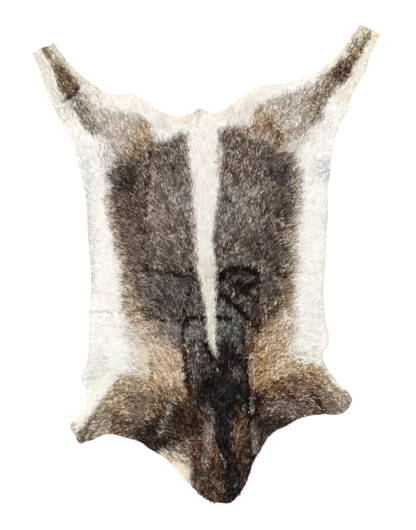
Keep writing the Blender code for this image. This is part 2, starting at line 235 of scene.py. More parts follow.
# Marks on the coat, painted one over another, in millimetres. Soft is how far an edge fades.
MARKINGS = (
    Marking("left flank shade", 17, Tone((221, 221, 217), (242, 242, 238), 0.1), (
        (-273, 240), (-239, 223), (-227, 156), (-239, 104), (-266, 101), (-273, 156))),
    Marking("left flank cream", 19, Tone((241, 238, 232), (250, 247, 241), 0.1), (
        (-243, 125), (-201, 135), (-185, 9), (-182, -75), (-222, -85), (-258, -54), (-239, 51))),
    Marking("left flank rim shade", 10, FLANK_RIM_SHADE, (
        (-277, 182), (-243, 167), (-237, 104), (-229, 51), (-229, 5), (-233, -54), (-258, -77), (-258, -75),
        (-260, 4), (-268, 59), (-269, 115))),
    Marking("right flank shade", 13, Tone((209, 206, 204), (241, 238, 235), 0.1), (
        (235, 219), (277, 221), (275, 175), (244, 169), (227, 181), (229, 207))),
    Marking("right flank rim shade", 9, FLANK_RIM_SHADE, (
        (238, 123), (267, 127), (267, 43), (244, 39), (235, 81))),
    Marking("right flank beige", 23, Tone((238, 235, 230), (251, 249, 244), 0.1), (
        (202, 125), (250, 135), (267, 51), (263, -76), (219, -159), (193, -75), (198, 51))),
    Marking("left belly shade", 17, Tone((230, 227, 223), (247, 245, 241), 0.1), (
        (-264, -182), (-214, -180), (-197, -218), (-214, -251), (-235, -268), (-280, -250))),
    Marking("belly ticks", 20, Tone((210, 203, 192), (254, 246, 232), 0.5), (
        (-168, -127), (-151, -121), (-130, -146), (-126, -184), (-132, -226), (-151, -226), (-157, -184),
        (-172, -155))),
    Marking("left belly white", 11, Tone((245, 244, 239), (254, 253, 248), 0.3), (
        (-206, -155), (-172, -163), (-164, -192), (-168, -222), (-189, -234), (-206, -213), (-210, -180))),
    Marking("rump left cream", 19, Tone((237, 234, 224), (251, 247, 238), 0.1), (
        (-196, 375), (-136, 368), (-83, 334), (-37, 337), (-29, 295), (-86, 286), (-138, 333),
        (-197, 341))),
    Marking("rump right cream", 19, Tone((243, 239, 230), (254, 250, 241), 0.1), (
        (17, 335), (64, 364), (117, 391), (194, 403), (198, 375), (130, 354), (84, 320), (51, 295),
        (13, 295))),
    Marking("rump right blush", 13, Tone((239, 228, 214), (248, 237, 222), 0.1), (
        (5, 338), (18, 335), (37, 345), (72, 345), (93, 358), (97, 345), (67, 320), (38, 303), (13, 299))),
    Marking("rump left blush", 13, Tone((229, 214, 199), (242, 226, 210), 0.1), (
        (-56, 326), (-29, 341), (-23, 295), (-46, 291))),
    Marking("rump grey haze", 15, Tone((225, 219, 209), (244, 237, 227), 0.2), (
        (51, 324), (93, 349), (118, 349), (105, 320), (84, 295), (55, 295))),
    Marking("rump tail haze", 11, Tone((221, 214, 203), (240, 231, 220), 0.2), (
        (-42, 316), (-23, 333), (-14, 337), (-4, 326), (0, 307), (-6, 289), (-29, 286), (-42, 301))),
    Marking("rump left haze", 13, Tone((226, 216, 206), (234, 225, 214), 0.2), (
        (-93, 341), (-86, 312), (-80, 286), (-101, 286))),
    Marking("left shank", 6, Tone((221, 216, 205), (248, 242, 230), 0.1), (
        (-381, 450), (-343, 473), (-318, 482), (-290, 452), (-259, 414), (-223, 389), (-214, 354),
        (-239, 337), (-269, 312), (-294, 295), (-336, 327), (-356, 376))),
    Marking("left shank end", 5, Tone((210, 201, 186), (226, 217, 201), 0.1), (
        (-343, 473), (-317, 482), (-290, 455), (-265, 424), (-238, 401), (-260, 375), (-281, 400),
        (-302, 425), (-319, 442), (-336, 450))),
    Marking("left shank outer edge", 6, Tone((217, 209, 189), (226, 217, 197), 0.1), (
        (-381, 450), (-373, 459), (-348, 421), (-336, 396), (-332, 370), (-354, 372), (-366, 402))),
    Marking("left shank stripe", 3, Tone((112, 94, 67), (173, 160, 136), 0.6), (
        (-355, 467), (-343, 472), (-319, 436), (-304, 427), (-292, 417), (-281, 402), (-271, 389),
        (-262, 375), (-273, 362), (-285, 347), (-296, 352), (-306, 366), (-315, 389), (-321, 410),
        (-332, 429), (-342, 444))),
    Marking("left shank stripe grey", 3, Tone((131, 120, 91), (228, 217, 200), 0.6), (
        (-338, 455), (-327, 454), (-315, 438), (-298, 427), (-292, 417), (-306, 417), (-319, 429),
        (-329, 442))),
    Marking("left shank core", 5, Tone((79, 48, 31), (137, 122, 101), 0.6), (
        (-313, 421), (-300, 417), (-287, 400), (-271, 375), (-275, 364), (-285, 356), (-296, 362),
        (-306, 375), (-315, 396))),
    Marking("left hip stripe", 5, Tone((90, 75, 61), (174, 158, 142), 0.8), (
        (-285, 349), (-271, 362), (-260, 354), (-248, 328), (-231, 305), (-218, 280), (-231, 270),
        (-243, 276), (-256, 293), (-271, 316), (-283, 333))),
    Marking("left hip", 9, Tone((159, 149, 139), (240, 226, 212), 0.9), (
        (-266, 368), (-256, 364), (-250, 354), (-241, 343), (-229, 333), (-212, 324), (-195, 320),
        (-176, 320), (-147, 314), (-126, 305), (-115, 289), (-109, 265), (-105, 247), (-134, 238),
        (-164, 226), (-189, 219), (-199, 236), (-212, 259), (-227, 270), (-241, 299), (-256, 333),
        (-273, 354))),
    Marking("left hip brown edge", 3, Tone((103, 86, 65), (178, 171, 158), 0.8), (
        (-285, 349), (-271, 362), (-258, 349), (-248, 328), (-233, 307), (-220, 282), (-233, 270),
        (-245, 278), (-260, 299), (-273, 320))),
    Marking("left hip fringe", 10, Tone((191, 187, 181), (254, 248, 240), 0.6), (
        (-227, 274), (-210, 259), (-195, 236), (-187, 215), (-199, 198), (-208, 223), (-222, 249))),
    Marking("left hip fringe low", 9, Tone((173, 167, 160), (244, 237, 226), 0.8), (
        (-222, 236), (-208, 230), (-197, 213), (-201, 194), (-214, 198), (-224, 217))),
    Marking("left hip dark rim", 6, Tone((207, 199, 187), (227, 218, 205), 0.7), (
        (-155, 314), (-130, 307), (-119, 295), (-132, 295), (-151, 305))),
    Marking("left golden", 13, Tone((154, 129, 104), (209, 195, 171), 0.7), (
        (-151, 291), (-126, 299), (-113, 282), (-107, 259), (-109, 240), (-126, 242), (-147, 242),
        (-166, 244), (-164, 263), (-155, 278))),
    Marking("left golden heart", 11, Tone((150, 100, 52), (222, 200, 167), 0.7), (
        (-140, 282), (-122, 286), (-111, 265), (-111, 244), (-128, 249), (-143, 257))),
    Marking("right shank", 6, Tone((234, 228, 215), (254, 247, 233), 0.1), (
        (313, 517), (380, 486), (365, 447), (353, 415), (339, 377), (321, 346), (311, 320), (269, 345),
        (225, 420), (252, 441), (278, 472))),
    Marking("right shank end", 5, Tone((213, 202, 182), (249, 236, 213), 0.1), (
        (311, 518), (354, 508), (340, 486), (319, 480), (307, 463), (290, 450), (269, 461), (292, 491))),
    Marking("right shank outer edge", 6, Tone((230, 218, 196), (250, 237, 213), 0.1), (
        (358, 507), (380, 480), (365, 447), (364, 438), (345, 467))),
    Marking("right hip", 8, Tone((135, 109, 79), (227, 219, 207), 0.9), (
        (118, 337), (139, 347), (164, 354), (183, 364), (210, 375), (233, 387), (252, 400), (269, 419),
        (284, 436), (298, 433), (305, 417), (303, 398), (292, 383), (275, 368), (261, 354), (254, 343),
        (248, 331), (242, 314), (233, 299), (221, 284), (208, 270), (196, 257), (183, 247), (170, 240),
        (154, 238), (139, 244), (126, 261), (101, 278), (97, 295), (105, 316))),
    Marking("right hip pale side", 10, Tone((153, 138, 120), (231, 223, 213), 0.8), (
        (172, 352), (198, 366), (223, 377), (235, 383), (223, 366), (210, 354), (202, 328), (198, 307),
        (181, 307), (172, 328))),
    Marking("right hip stripe", 7, Tone((80, 61, 42), (186, 172, 153), 0.8), (
        (269, 419), (290, 436), (305, 421), (303, 398), (286, 379), (271, 366), (260, 352), (252, 341),
        (246, 328), (245, 312), (235, 299), (217, 289), (210, 299), (221, 314), (214, 333), (217, 349),
        (229, 360), (244, 375), (256, 396))),
    Marking("right shank core", 9, Tone((34, 14, 3), (100, 79, 59), 0.6), (
        (284, 425), (292, 433), (303, 438), (313, 433), (311, 417), (303, 402), (292, 387), (277, 383),
        (265, 389), (267, 404), (273, 417))),
    Marking("right shank heel", 7, Tone((45, 38, 33), (153, 135, 108), 0.8), (
        (288, 379), (277, 366), (263, 354), (252, 345), (248, 358), (261, 370), (273, 383))),
    Marking("right shank stripe", 4, Tone((131, 116, 84), (241, 235, 219), 0.6), (
        (319, 475), (336, 486), (349, 488), (345, 471), (330, 450), (319, 436), (305, 433), (290, 438),
        (296, 454), (307, 475))),
    Marking("right shank stripe core", 6, Tone((80, 37, 5), (163, 146, 110), 0.6), (
        (336, 475), (345, 484), (345, 475), (336, 457), (326, 438), (317, 429), (303, 429), (294, 436),
        (301, 444), (313, 452), (326, 463))),
    Marking("right golden", 10, Tone((145, 112, 74), (233, 218, 197), 0.7), (
        (99, 316), (112, 328), (130, 333), (143, 320), (145, 299), (151, 282), (164, 278), (168, 261),
        (162, 244), (149, 240), (139, 257), (126, 272), (101, 272), (95, 286))),
    Marking("right golden heart", 8, Tone((106, 81, 66), (156, 131, 96), 0.6), (
        (120, 303), (135, 307), (143, 295), (147, 278), (130, 274), (116, 276))),
    Marking("right golden drop", 7, Tone((106, 75, 45), (170, 143, 109), 0.6), (
        (97, 299), (105, 307), (116, 299), (116, 282), (107, 273), (97, 278))),
    Marking("right golden tail", 8, Tone((83, 62, 50), (168, 139, 100), 0.6), (
        (141, 286), (158, 282), (164, 265), (158, 247), (147, 242), (139, 259))),
    Marking("right hip fringe", 10, Tone((194, 188, 178), (254, 246, 233), 0.6), (
        (198, 265), (210, 276), (219, 282), (214, 270), (202, 253), (191, 236), (181, 232), (172, 242),
        (181, 253))),
    Marking("lower body", 9, Tone((61, 50, 40), (194, 177, 157), 0.8), (
        (-138, -75), (177, -66), (168, -169), (189, -226), (193, -285), (118, -327), (109, -436),
        (67, -512), (-12, -474), (-38, -402), (-105, -369), (-168, -310), (-138, -243), (-126, -180),
        (-138, -117))),
    Marking("left saddle", 10, Tone((59, 46, 39), (126, 112, 101), 0.8), (
        (-54, 274), (-42, 272), (-38, 257), (-35, 240), (-33, 219), (-30, 198), (-27, 177), (-28, 156),
        (-30, 135), (-27, 114), (-24, 93), (-23, 72), (-21, 51), (-19, 30), (-21, 9), (-18, -12),
        (-14, -33), (-11, -54), (-7, -71), (-4, -87), (-2, -106), (0, -123), (-33, -138), (-71, -129),
        (-117, -117), (-151, -113), (-172, -85), (-175, -54), (-181, -12), (-189, 30), (-193, 68),
        (-202, 104), (-207, 135), (-207, 177), (-205, 196), (-197, 211), (-182, 226), (-166, 232),
        (-143, 242), (-117, 253), (-96, 260), (-80, 263), (-67, 270))),
    Marking("left saddle side", 15, Tone((67, 57, 49), (141, 128, 118), 0.9), (
        (-113, 207), (-88, 181), (-63, 169), (-38, 156), (-29, 114), (-33, 68), (-46, 30), (-80, 18),
        (-109, 22), (-119, 51), (-124, 104), (-117, 156))),
    Marking("left saddle steel", 17, Tone((83, 70, 62), (153, 145, 137), 0.8), (
        (-88, 173), (-38, 177), (-29, 144), (-42, 123), (-63, 123), (-84, 144))),
    Marking("left saddle tan", 15, Tone((86, 65, 52), (149, 134, 122), 0.8), (
        (-113, 127), (-88, 123), (-75, 89), (-67, 60), (-88, 47), (-113, 60), (-122, 89))),
    Marking("left saddle crown", 13, Tone((71, 60, 50), (140, 128, 118), 0.8), (
        (-105, 228), (-84, 244), (-63, 261), (-52, 244), (-54, 219), (-54, 194), (-71, 190), (-88, 202))),
    Marking("left saddle spine side", 8, Tone((91, 79, 67), (183, 166, 148), 0.9), (
        (-50, 265), (-40, 265), (-35, 244), (-37, 223), (-44, 228), (-48, 244))),
    Marking("left saddle spine low", 7, Tone((91, 75, 64), (184, 177, 171), 0.9), (
        (-40, 173), (-26, 181), (-25, 135), (-23, 85), (-30, 81), (-38, 118))),
    Marking("left saddle crown core", 8, Tone((27, 19, 14), (92, 84, 79), 0.6), (
        (-88, 211), (-71, 215), (-59, 202), (-59, 188), (-75, 190))),
    Marking("left saddle shadow", 17, Tone((27, 13, 7), (66, 57, 53), 0.6), (
        (-189, 190), (-176, 207), (-151, 211), (-134, 205), (-134, 173), (-143, 144), (-172, 139),
        (-191, 160))),
    Marking("left saddle inner shadow", 15, Tone((52, 34, 23), (120, 103, 92), 0.8), (
        (-134, 207), (-119, 211), (-122, 156), (-128, 106), (-145, 106), (-159, 144), (-147, 177))),
    Marking("left saddle low grey", 15, Tone((77, 59, 51), (123, 109, 100), 0.8), (
        (-180, 81), (-138, 85), (-126, 51), (-130, 5), (-168, 1), (-180, 39))),
    Marking("left saddle middle shade", 13, Tone((40, 23, 17), (96, 79, 70), 0.8), (
        (-164, 123), (-134, 118), (-130, 89), (-151, 85), (-168, 106))),
    Marking("left shoulder brown", 13, Tone((89, 69, 59), (178, 154, 127), 0.8), (
        (-195, 219), (-176, 240), (-151, 255), (-117, 261), (-96, 261), (-101, 240), (-126, 234),
        (-159, 226), (-189, 213))),
    Marking("left stripe edge", 7, Tone((129, 111, 96), (233, 216, 201), 0.8), (
        (-46, 274), (-33, 274), (-27, 219), (-25, 194), (-21, 60), (-14, 5), (-19, -3), (-33, 5), (-29, 51),
        (-31, 135), (-35, 207), (-42, 249))),
    Marking("left edge brown", 8, Tone((95, 71, 45), (200, 182, 161), 0.9), (
        (-207, 173), (-201, 177), (-196, 135), (-192, 97), (-181, 68), (-175, 30), (-172, -12), (-178, -18),
        (-185, 26), (-195, 60), (-206, 93), (-207, 135))),
    Marking("left saddle foot", 13, Tone((59, 49, 45), (112, 105, 101), 0.6), (
        (-130, -24), (-96, -22), (-42, -33), (-14, -37), (-6, -75), (-4, -104), (-54, -104), (-96, -104),
        (-117, -98), (-132, -66))),
    Marking("left foot shade", 8, Tone((43, 36, 32), (96, 88, 82), 0.8), (
        (-101, -79), (-63, -81), (-54, -96), (-63, -117), (-96, -115), (-105, -96))),
    Marking("left edge golden", 13, Tone((75, 50, 37), (179, 157, 133), 0.9), (
        (-178, 5), (-166, -3), (-153, -33), (-145, -66), (-132, -92), (-126, -117), (-159, -117),
        (-171, -87), (-175, -54))),
    Marking("left golden knee", 12, Tone((124, 97, 66), (209, 193, 171), 0.7), (
        (-176, -33), (-159, -41), (-151, -71), (-138, -100), (-155, -113), (-170, -87))),
    Marking("right saddle", 10, Tone((44, 36, 30), (138, 121, 109), 0.9), (
        (28, 274), (34, 284), (46, 287), (59, 284), (72, 280), (82, 277), (99, 272), (118, 270), (133, 265),
        (139, 253), (147, 242), (164, 238), (181, 230), (193, 213), (196, 181), (198, 152), (198, 123),
        (191, 93), (188, 62), (188, 30), (188, 5), (187, -22), (183, -54), (181, -83), (156, -96),
        (118, -100), (105, -138), (72, -142), (40, -138), (20, -121), (18, -100), (18, -81), (23, -64),
        (20, -50), (19, -22), (19, 5), (16, 30), (15, 51), (18, 76), (18, 110), (24, 135), (25, 160),
        (28, 186), (32, 207), (33, 226), (28, 244), (24, 261))),
    Marking("right saddle top", 14, Tone((63, 51, 44), (140, 126, 113), 0.8), (
        (32, 274), (51, 280), (72, 278), (97, 270), (118, 265), (130, 249), (105, 234), (72, 242),
        (55, 228), (40, 223), (32, 244))),
    Marking("right saddle shoulder", 7, Tone((87, 56, 41), (216, 194, 168), 0.9), (
        (63, 284), (84, 289), (101, 278), (118, 270), (122, 261), (97, 263), (72, 272))),
    Marking("right saddle side edge", 7, Tone((93, 71, 55), (139, 109, 86), 0.9), (
        (147, 240), (164, 238), (181, 230), (193, 213), (198, 190), (187, 194), (179, 211), (162, 226))),
    Marking("right saddle blue", 17, Tone((67, 52, 44), (99, 94, 89), 0.8), (
        (118, 228), (139, 232), (164, 223), (181, 202), (177, 173), (160, 160), (139, 169), (122, 190))),
    Marking("right saddle black bar", 12, Tone((29, 19, 15), (77, 67, 63), 0.6), (
        (120, 198), (147, 198), (172, 207), (172, 190), (147, 181), (122, 184))),
    Marking("right saddle steel", 17, Tone((94, 79, 68), (157, 150, 142), 0.8), (
        (34, 181), (84, 181), (105, 165), (105, 123), (88, 106), (67, 102), (42, 110), (30, 135))),
    Marking("right saddle brown spot", 8, Tone((30, 20, 17), (81, 69, 55), 0.8), (
        (32, 144), (49, 146), (51, 131), (34, 129))),
    Marking("right saddle lower steel", 13, Tone((70, 61, 55), (135, 126, 119), 0.8), (
        (21, 102), (55, 118), (80, 110), (72, 68), (51, 51), (25, 51))),
    Marking("right saddle tan", 15, Tone((82, 62, 48), (154, 143, 134), 0.8), (
        (76, 123), (105, 123), (109, 76), (86, 68), (72, 89))),
    Marking("right saddle chestnut", 15, Tone((55, 42, 33), (110, 97, 88), 0.8), (
        (63, 60), (88, 72), (112, 68), (114, 5), (88, 9), (67, 30))),
    Marking("right saddle chestnut heart", 8, Tone((27, 9, 4), (90, 71, 61), 0.6), (
        (101, 55), (114, 55), (114, 9), (101, 13), (95, 34))),
    Marking("right saddle band", 8, Tone((38, 25, 18), (106, 97, 90), 0.8), (
        (23, 43), (55, 39), (63, 18), (34, 13), (21, 22))),
    Marking("right saddle low pale", 11, Tone((78, 66, 56), (134, 127, 120), 0.8), (
        (46, 18), (84, 18), (101, 5), (93, -5), (55, -3), (34, 5))),
    Marking("right outer brown", 13, Tone((68, 54, 37), (121, 109, 102), 0.8), (
        (126, 144), (160, 152), (183, 144), (185, 110), (168, 89), (135, 89), (122, 114))),
    Marking("right outer dark", 10, Tone((13, 2, 2), (67, 50, 39), 0.6), (
        (154, 137), (168, 137), (172, 118), (168, 95), (154, 102))),
    Marking("right outer low", 13, Tone((46, 37, 32), (102, 90, 82), 0.8), (
        (118, 85), (151, 85), (164, 60), (168, 30), (164, -12), (147, -37), (118, -54), (116, 30))),
    Marking("right edge brown", 9, Tone((72, 45, 28), (205, 189, 167), 0.8), (
        (177, 226), (189, 219), (198, 194), (200, 156), (198, 123), (191, 106), (189, 144), (187, 181),
        (179, 202))),
    Marking("right edge golden", 11, Tone((88, 63, 35), (198, 184, 160), 0.8), (
        (172, 72), (192, 85), (193, 68), (191, 26), (191, -3), (189, -33), (177, -33), (172, 5), (179, 39),
        (168, 55))),
    Marking("right edge honey", 11, Tone((94, 79, 66), (158, 134, 98), 0.8), (
        (158, -29), (179, -24), (191, -45), (185, -75), (181, -100), (164, -113), (156, -92), (158, -58))),
    Marking("right edge ticks", 8, Tone((154, 144, 129), (234, 218, 197), 0.6), (
        (189, 131), (198, 123), (193, 51), (192, -12), (189, -75), (185, -75), (188, 5))),
    Marking("right loin dark", 11, Tone((17, 8, 5), (44, 30, 24), 0.3), (
        (23, -8), (51, -3), (72, -3), (113, -8), (116, -43), (116, -73), (97, -77), (72, -71), (55, -58),
        (34, -66), (21, -54))),
    Marking("right loin grey", 8, Tone((39, 25, 18), (85, 77, 72), 0.6), (
        (46, -24), (72, -22), (93, -26), (101, -35), (84, -37), (63, -35), (46, -35))),
    Marking("right loin grey low", 8, Tone((29, 22, 17), (111, 106, 103), 0.6), (
        (34, -45), (55, -41), (63, -54), (51, -62), (34, -58))),
    Marking("right loin brown spot", 6, Tone((74, 60, 50), (153, 137, 125), 0.9), (
        (93, -54), (105, -54), (107, -64), (95, -66))),
    Marking("right loin low", 10, Tone((61, 51, 48), (98, 91, 87), 0.6), (
        (67, -73), (93, -77), (118, -75), (118, -104), (105, -117), (88, -100))),
    Marking("right loin corner", 8, Tone((13, 3, 2), (49, 39, 35), 0.7), (
        (99, -64), (122, -66), (143, -73), (147, -85), (122, -100), (105, -100), (95, -81))),
    Marking("right loin outer", 11, Tone((62, 49, 34), (99, 91, 86), 0.8), (
        (116, -43), (156, -41), (158, -66), (151, -87), (118, -92))),
    # Painted sheen: the right sheen and its core stand for light reflected off dark hair.
    Marking("right sheen", 11, Tone((65, 55, 48), (110, 111, 108), 0.5), (
        (25, -77), (42, -75), (57, -92), (76, -108), (93, -134), (86, -167), (74, -180), (59, -176),
        (42, -171), (23, -180), (20, -138))),
    Marking("right sheen core", 10, Tone((72, 64, 60), (134, 132, 126), 0.4), (
        (34, -121), (63, -121), (67, -146), (46, -146), (30, -142))),
    Marking("right flank dark", 10, Tone((68, 51, 19), (76, 56, 59), 0.3), (
        (72, -146), (97, -134), (105, -169), (97, -201), (91, -232), (93, -268), (84, -285), (72, -268),
        (67, -222), (72, -180))),
    Marking("left tan", 18, Tone((126, 86, 54), (246, 231, 209), 0.8), (
        (-157, -100), (-117, -108), (-71, -123), (-38, -138), (-33, -184), (-33, -226), (-29, -268),
        (-38, -289), (-75, -293), (-105, -289), (-126, -276), (-140, -255), (-143, -226), (-134, -201),
        (-134, -180), (-143, -155), (-155, -125))),
    Marking("left tan pale", 17, Tone((228, 216, 198), (238, 225, 206), 0.6), (
        (-136, -167), (-119, -155), (-109, -184), (-109, -218), (-122, -243), (-138, -243), (-138, -205))),
    Marking("left tan knee", 12, Tone((154, 121, 88), (237, 219, 198), 0.8), (
        (-159, -100), (-126, -104), (-101, -117), (-117, -134), (-147, -127))),
    Marking("left tan slope", 15, Tone((72, 60, 48), (151, 136, 127), 0.9), (
        (-101, -121), (-67, -127), (-42, -150), (-42, -197), (-63, -180), (-92, -155))),
    Marking("left tan golden", 13, Tone((190, 152, 101), (254, 243, 224), 0.7), (
        (-111, -171), (-84, -163), (-61, -188), (-52, -230), (-59, -268), (-88, -278), (-109, -268),
        (-115, -222))),
    Marking("left tan golden low", 12, Tone((157, 93, 21), (211, 187, 135), 0.7), (
        (-117, -239), (-88, -239), (-84, -264), (-101, -276), (-119, -264))),
    Marking("left loin brown", 12, Tone((31, 22, 18), (98, 86, 79), 0.6), (
        (-134, -98), (-101, -100), (-46, -102), (-44, -121), (-75, -123), (-117, -117))),
    # Painted sheen: the loin and back sheen marks stand for light reflected off dark hair.
    Marking("left loin sheen", 10, Tone((120, 109, 104), (145, 142, 138), 0.5), (
        (-71, -117), (-46, -125), (-42, -146), (-46, -173), (-56, -159), (-71, -142), (-82, -127))),
    Marking("left back sheen", 8, Tone((77, 66, 61), (138, 137, 134), 0.5), (
        (-44, -123), (-4, -121), (2, -146), (-17, -159), (-33, -167), (-44, -159))),
    Marking("left back low", 6, Tone((36, 18, 14), (84, 76, 73), 0.5), (
        (-42, -159), (4, -150), (17, -184), (23, -213), (23, -243), (13, -268), (-14, -276), (-33, -268),
        (-38, -213))),
    Marking("left back low brown", 10, Tone((10, 5, 3), (84, 73, 66), 0.5), (
        (-46, -239), (-31, -239), (-21, -251), (-21, -272), (-33, -289), (-46, -285))),
    Marking("left back black", 6, Tone((14, 4, 4), (20, 9, 8), 0.3), (
        (-6, -155), (2, -152), (13, -180), (21, -205), (19, -226), (11, -209), (0, -180))),
    # Painted sheen spot.
    Marking("left back sheen spot", 8, Tone((68, 52, 46), (158, 156, 151), 0.4), (
        (-33, -169), (-21, -171), (-17, -192), (-27, -201), (-35, -188))),
    Marking("left tan foot", 15, Tone((114, 61, 16), (178, 149, 99), 0.9), (
        (-180, -243), (-151, -230), (-117, -243), (-92, -276), (-101, -293), (-138, -293), (-172, -289),
        (-201, -285))),
    Marking("left tan shadow", 11, Tone((101, 58, 31), (176, 155, 127), 0.8), (
        (-122, -260), (-88, -260), (-59, -255), (-33, -251), (-14, -268), (-12, -285), (-46, -293),
        (-88, -293), (-117, -285))),
    Marking("left foreleg", 11, Tone((104, 61, 32), (212, 194, 164), 0.8), (
        (-185, -234), (-155, -230), (-122, -251), (-96, -285), (-88, -306), (-113, -331), (-130, -360),
        (-144, -390), (-169, -382), (-203, -373), (-228, -381), (-271, -396), (-289, -379), (-269, -348),
        (-248, -323), (-227, -297), (-206, -270))),
    Marking("left foreleg grey", 12, Tone((103, 85, 74), (187, 174, 153), 0.8), (
        (-273, -352), (-248, -323), (-222, -302), (-206, -310), (-201, -339), (-211, -375), (-240, -385),
        (-280, -389))),
    Marking("left foreleg tip", 7, Tone((56, 40, 27), (161, 150, 128), 0.8), (
        (-285, -365), (-260, -344), (-239, -356), (-235, -381), (-269, -398))),
    Marking("left foreleg brown", 11, Tone((61, 42, 19), (134, 113, 98), 0.7), (
        (-197, -310), (-159, -314), (-122, -318), (-130, -352), (-147, -389), (-177, -381), (-201, -375))),
    Marking("left foreleg slate", 11, Tone((96, 76, 61), (144, 126, 108), 0.8), (
        (-164, -272), (-122, -268), (-105, -285), (-117, -310), (-147, -323), (-168, -306))),
    Marking("left foreleg honey", 10, Tone((138, 98, 53), (222, 210, 180), 0.9), (
        (-206, -268), (-180, -255), (-176, -293), (-193, -310), (-210, -297))),
    Marking("left foreleg edge", 6, Tone((245, 243, 231), (254, 252, 240), 0.1), (
        (-182, -209), (-187, -230), (-199, -257), (-214, -276), (-231, -297), (-252, -320), (-269, -339),
        (-279, -352), (-299, -353), (-283, -304), (-272, -283), (-269, -268), (-239, -255), (-210, -226))),
    Marking("left foreleg edge beige", 4, Tone((196, 184, 160), (250, 244, 228), 0.4), (
        (-302, -339), (-285, -327), (-275, -339), (-273, -360), (-264, -390), (-290, -386))),
    Marking("right tan pale", 11, Tone((200, 196, 186), (251, 246, 233), 0.6), (
        (175, -79), (187, -83), (188, -127), (188, -169), (210, -190), (233, -194), (227, -203),
        (202, -201), (179, -192), (166, -167), (170, -129))),
    Marking("right tan", 13, Tone((103, 59, 22), (199, 180, 145), 0.9), (
        (114, -87), (156, -79), (179, -75), (183, -104), (179, -138), (175, -171), (179, -197), (202, -207),
        (227, -207), (262, -208), (223, -234), (198, -243), (166, -255), (130, -276), (97, -272),
        (91, -239), (93, -201), (95, -159), (105, -134))),
    Marking("right tan pale field", 15, TAN_CREAM, (
        (135, -167), (164, -155), (177, -180), (181, -197), (164, -213), (141, -218), (130, -197))),
    Marking("right tan honey", 13, Tone((138, 84, 28), (254, 237, 202), 0.9), (
        (122, -121), (160, -113), (168, -146), (168, -184), (177, -205), (160, -226), (139, -243),
        (109, -260), (99, -243), (97, -209), (114, -180), (118, -150))),
    Marking("right tan umber", 12, Tone((130, 95, 59), (175, 152, 128), 0.8), (
        (116, -87), (149, -85), (160, -100), (151, -121), (137, -142), (122, -159), (114, -138))),
    Marking("right tan top", 12, Tone((40, 22, 22), (122, 105, 90), 0.8), (
        (116, -75), (156, -75), (164, -92), (147, -110), (126, -125), (114, -121), (112, -96))),
    Marking("right tan rim", 11, Tone((171, 148, 104), (254, 248, 238), 0.7), (
        (160, -100), (183, -100), (183, -146), (168, -159), (160, -134))),
    Marking("right tan rust", 12, Tone((63, 31, 14), (121, 78, 50), 0.5), (
        (93, -129), (107, -127), (110, -150), (107, -176), (101, -192), (94, -190), (89, -169))),
    Marking("right tan golden", 10, Tone((116, 54, 13), (216, 185, 135), 0.7), (
        (107, -167), (122, -161), (130, -192), (130, -234), (114, -255), (99, -243), (101, -205))),
    Marking("right tan inner pale", 7, Tone((119, 75, 36), (196, 175, 154), 0.8), (
        (88, -192), (101, -188), (105, -213), (103, -243), (105, -260), (93, -251), (87, -222))),
    Marking("right tan lower gold", 9, Tone((142, 87, 29), (236, 224, 192), 0.8), (
        (139, -213), (164, -205), (189, -205), (210, -218), (193, -230), (168, -234), (139, -243))),
    Marking("right tan foot", 11, Tone((75, 40, 18), (154, 121, 90), 0.6), (
        (93, -245), (109, -255), (126, -249), (151, -239), (177, -230), (198, -226), (210, -234),
        (185, -251), (177, -276), (147, -285), (118, -289), (95, -276))),
    Marking("neck", 9, Tone((7, 3, 3), (71, 54, 44), 0.6), (
        (-42, -281), (0, -276), (55, -281), (93, -268), (118, -285), (126, -335), (143, -373), (135, -407),
        (122, -440), (97, -491), (67, -524), (9, -524), (-29, -495), (-54, -466), (-31, -428), (-35, -394),
        (-63, -383), (-97, -420), (-126, -411), (-149, -387), (-130, -335), (-105, -306), (-71, -289))),
    Marking("neck left dark", 13, Tone((26, 12, 5), (72, 55, 44), 0.5), (
        (-117, -314), (-92, -297), (-59, -302), (-21, -289), (-4, -327), (-12, -356), (-38, -365),
        (-63, -369), (-92, -377), (-131, -402), (-134, -365), (-126, -335))),
    Marking("neck left black", 10, Tone((32, 8, 4), (60, 48, 42), 0.4), (
        (-143, -339), (-117, -316), (-96, -331), (-101, -381), (-119, -406), (-141, -393), (-147, -365))),
    Marking("neck left chestnut", 10, Tone((56, 25, 11), (122, 98, 75), 0.6), (
        (-122, -289), (-88, -281), (-75, -293), (-88, -310), (-113, -314))),
    Marking("neck pale ticks", 12, Tone((66, 39, 27), (171, 153, 134), 0.8), (
        (-96, -383), (-71, -379), (-50, -371), (-35, -377), (-31, -407), (-50, -411), (-71, -396),
        (-92, -394))),
    Marking("neck cream", 7, Tone((175, 146, 103), (254, 252, 243), 0.35), (
        (-96, -394), (-71, -390), (-48, -396), (-33, -413), (-31, -444), (-25, -465), (-24, -495),
        (-21, -499), (-54, -478), (-105, -415))),
    Marking("neck cream lip", 4, Tone((245, 235, 216), (254, 243, 224), 0.3), (
        (-92, -426), (-63, -413), (-46, -419), (-35, -432), (-31, -453), (-21, -470), (-15, -503),
        (-21, -503), (-63, -470))),
    Marking("neck chestnut left", 10, Tone((70, 40, 21), (121, 88, 66), 0.5), (
        (-27, -377), (-10, -369), (-4, -411), (-6, -440), (-21, -440), (-29, -411))),
    Marking("neck chestnut middle", 10, Tone((46, 30, 12), (115, 83, 63), 0.5), (
        (9, -373), (23, -377), (32, -407), (30, -432), (11, -432), (4, -402))),
    Marking("neck chest", 12, Tone((40, 18, 7), (101, 81, 67), 0.5), (
        (-21, -436), (13, -440), (42, -449), (42, -478), (30, -518), (-2, -512), (-32, -491), (-33, -453))),
    Marking("neck chestnut right", 10, Tone((47, 25, 11), (99, 79, 63), 0.5), (
        (57, -335), (70, -320), (86, -318), (93, -348), (93, -390), (86, -419), (67, -419), (55, -390))),
    Marking("neck right copper", 8, Tone((51, 30, 15), (113, 85, 63), 0.5), (
        (67, -331), (82, -327), (86, -360), (76, -373), (65, -360))),
    Marking("neck right side", 11, Tone((40, 19, 6), (74, 60, 52), 0.5), (
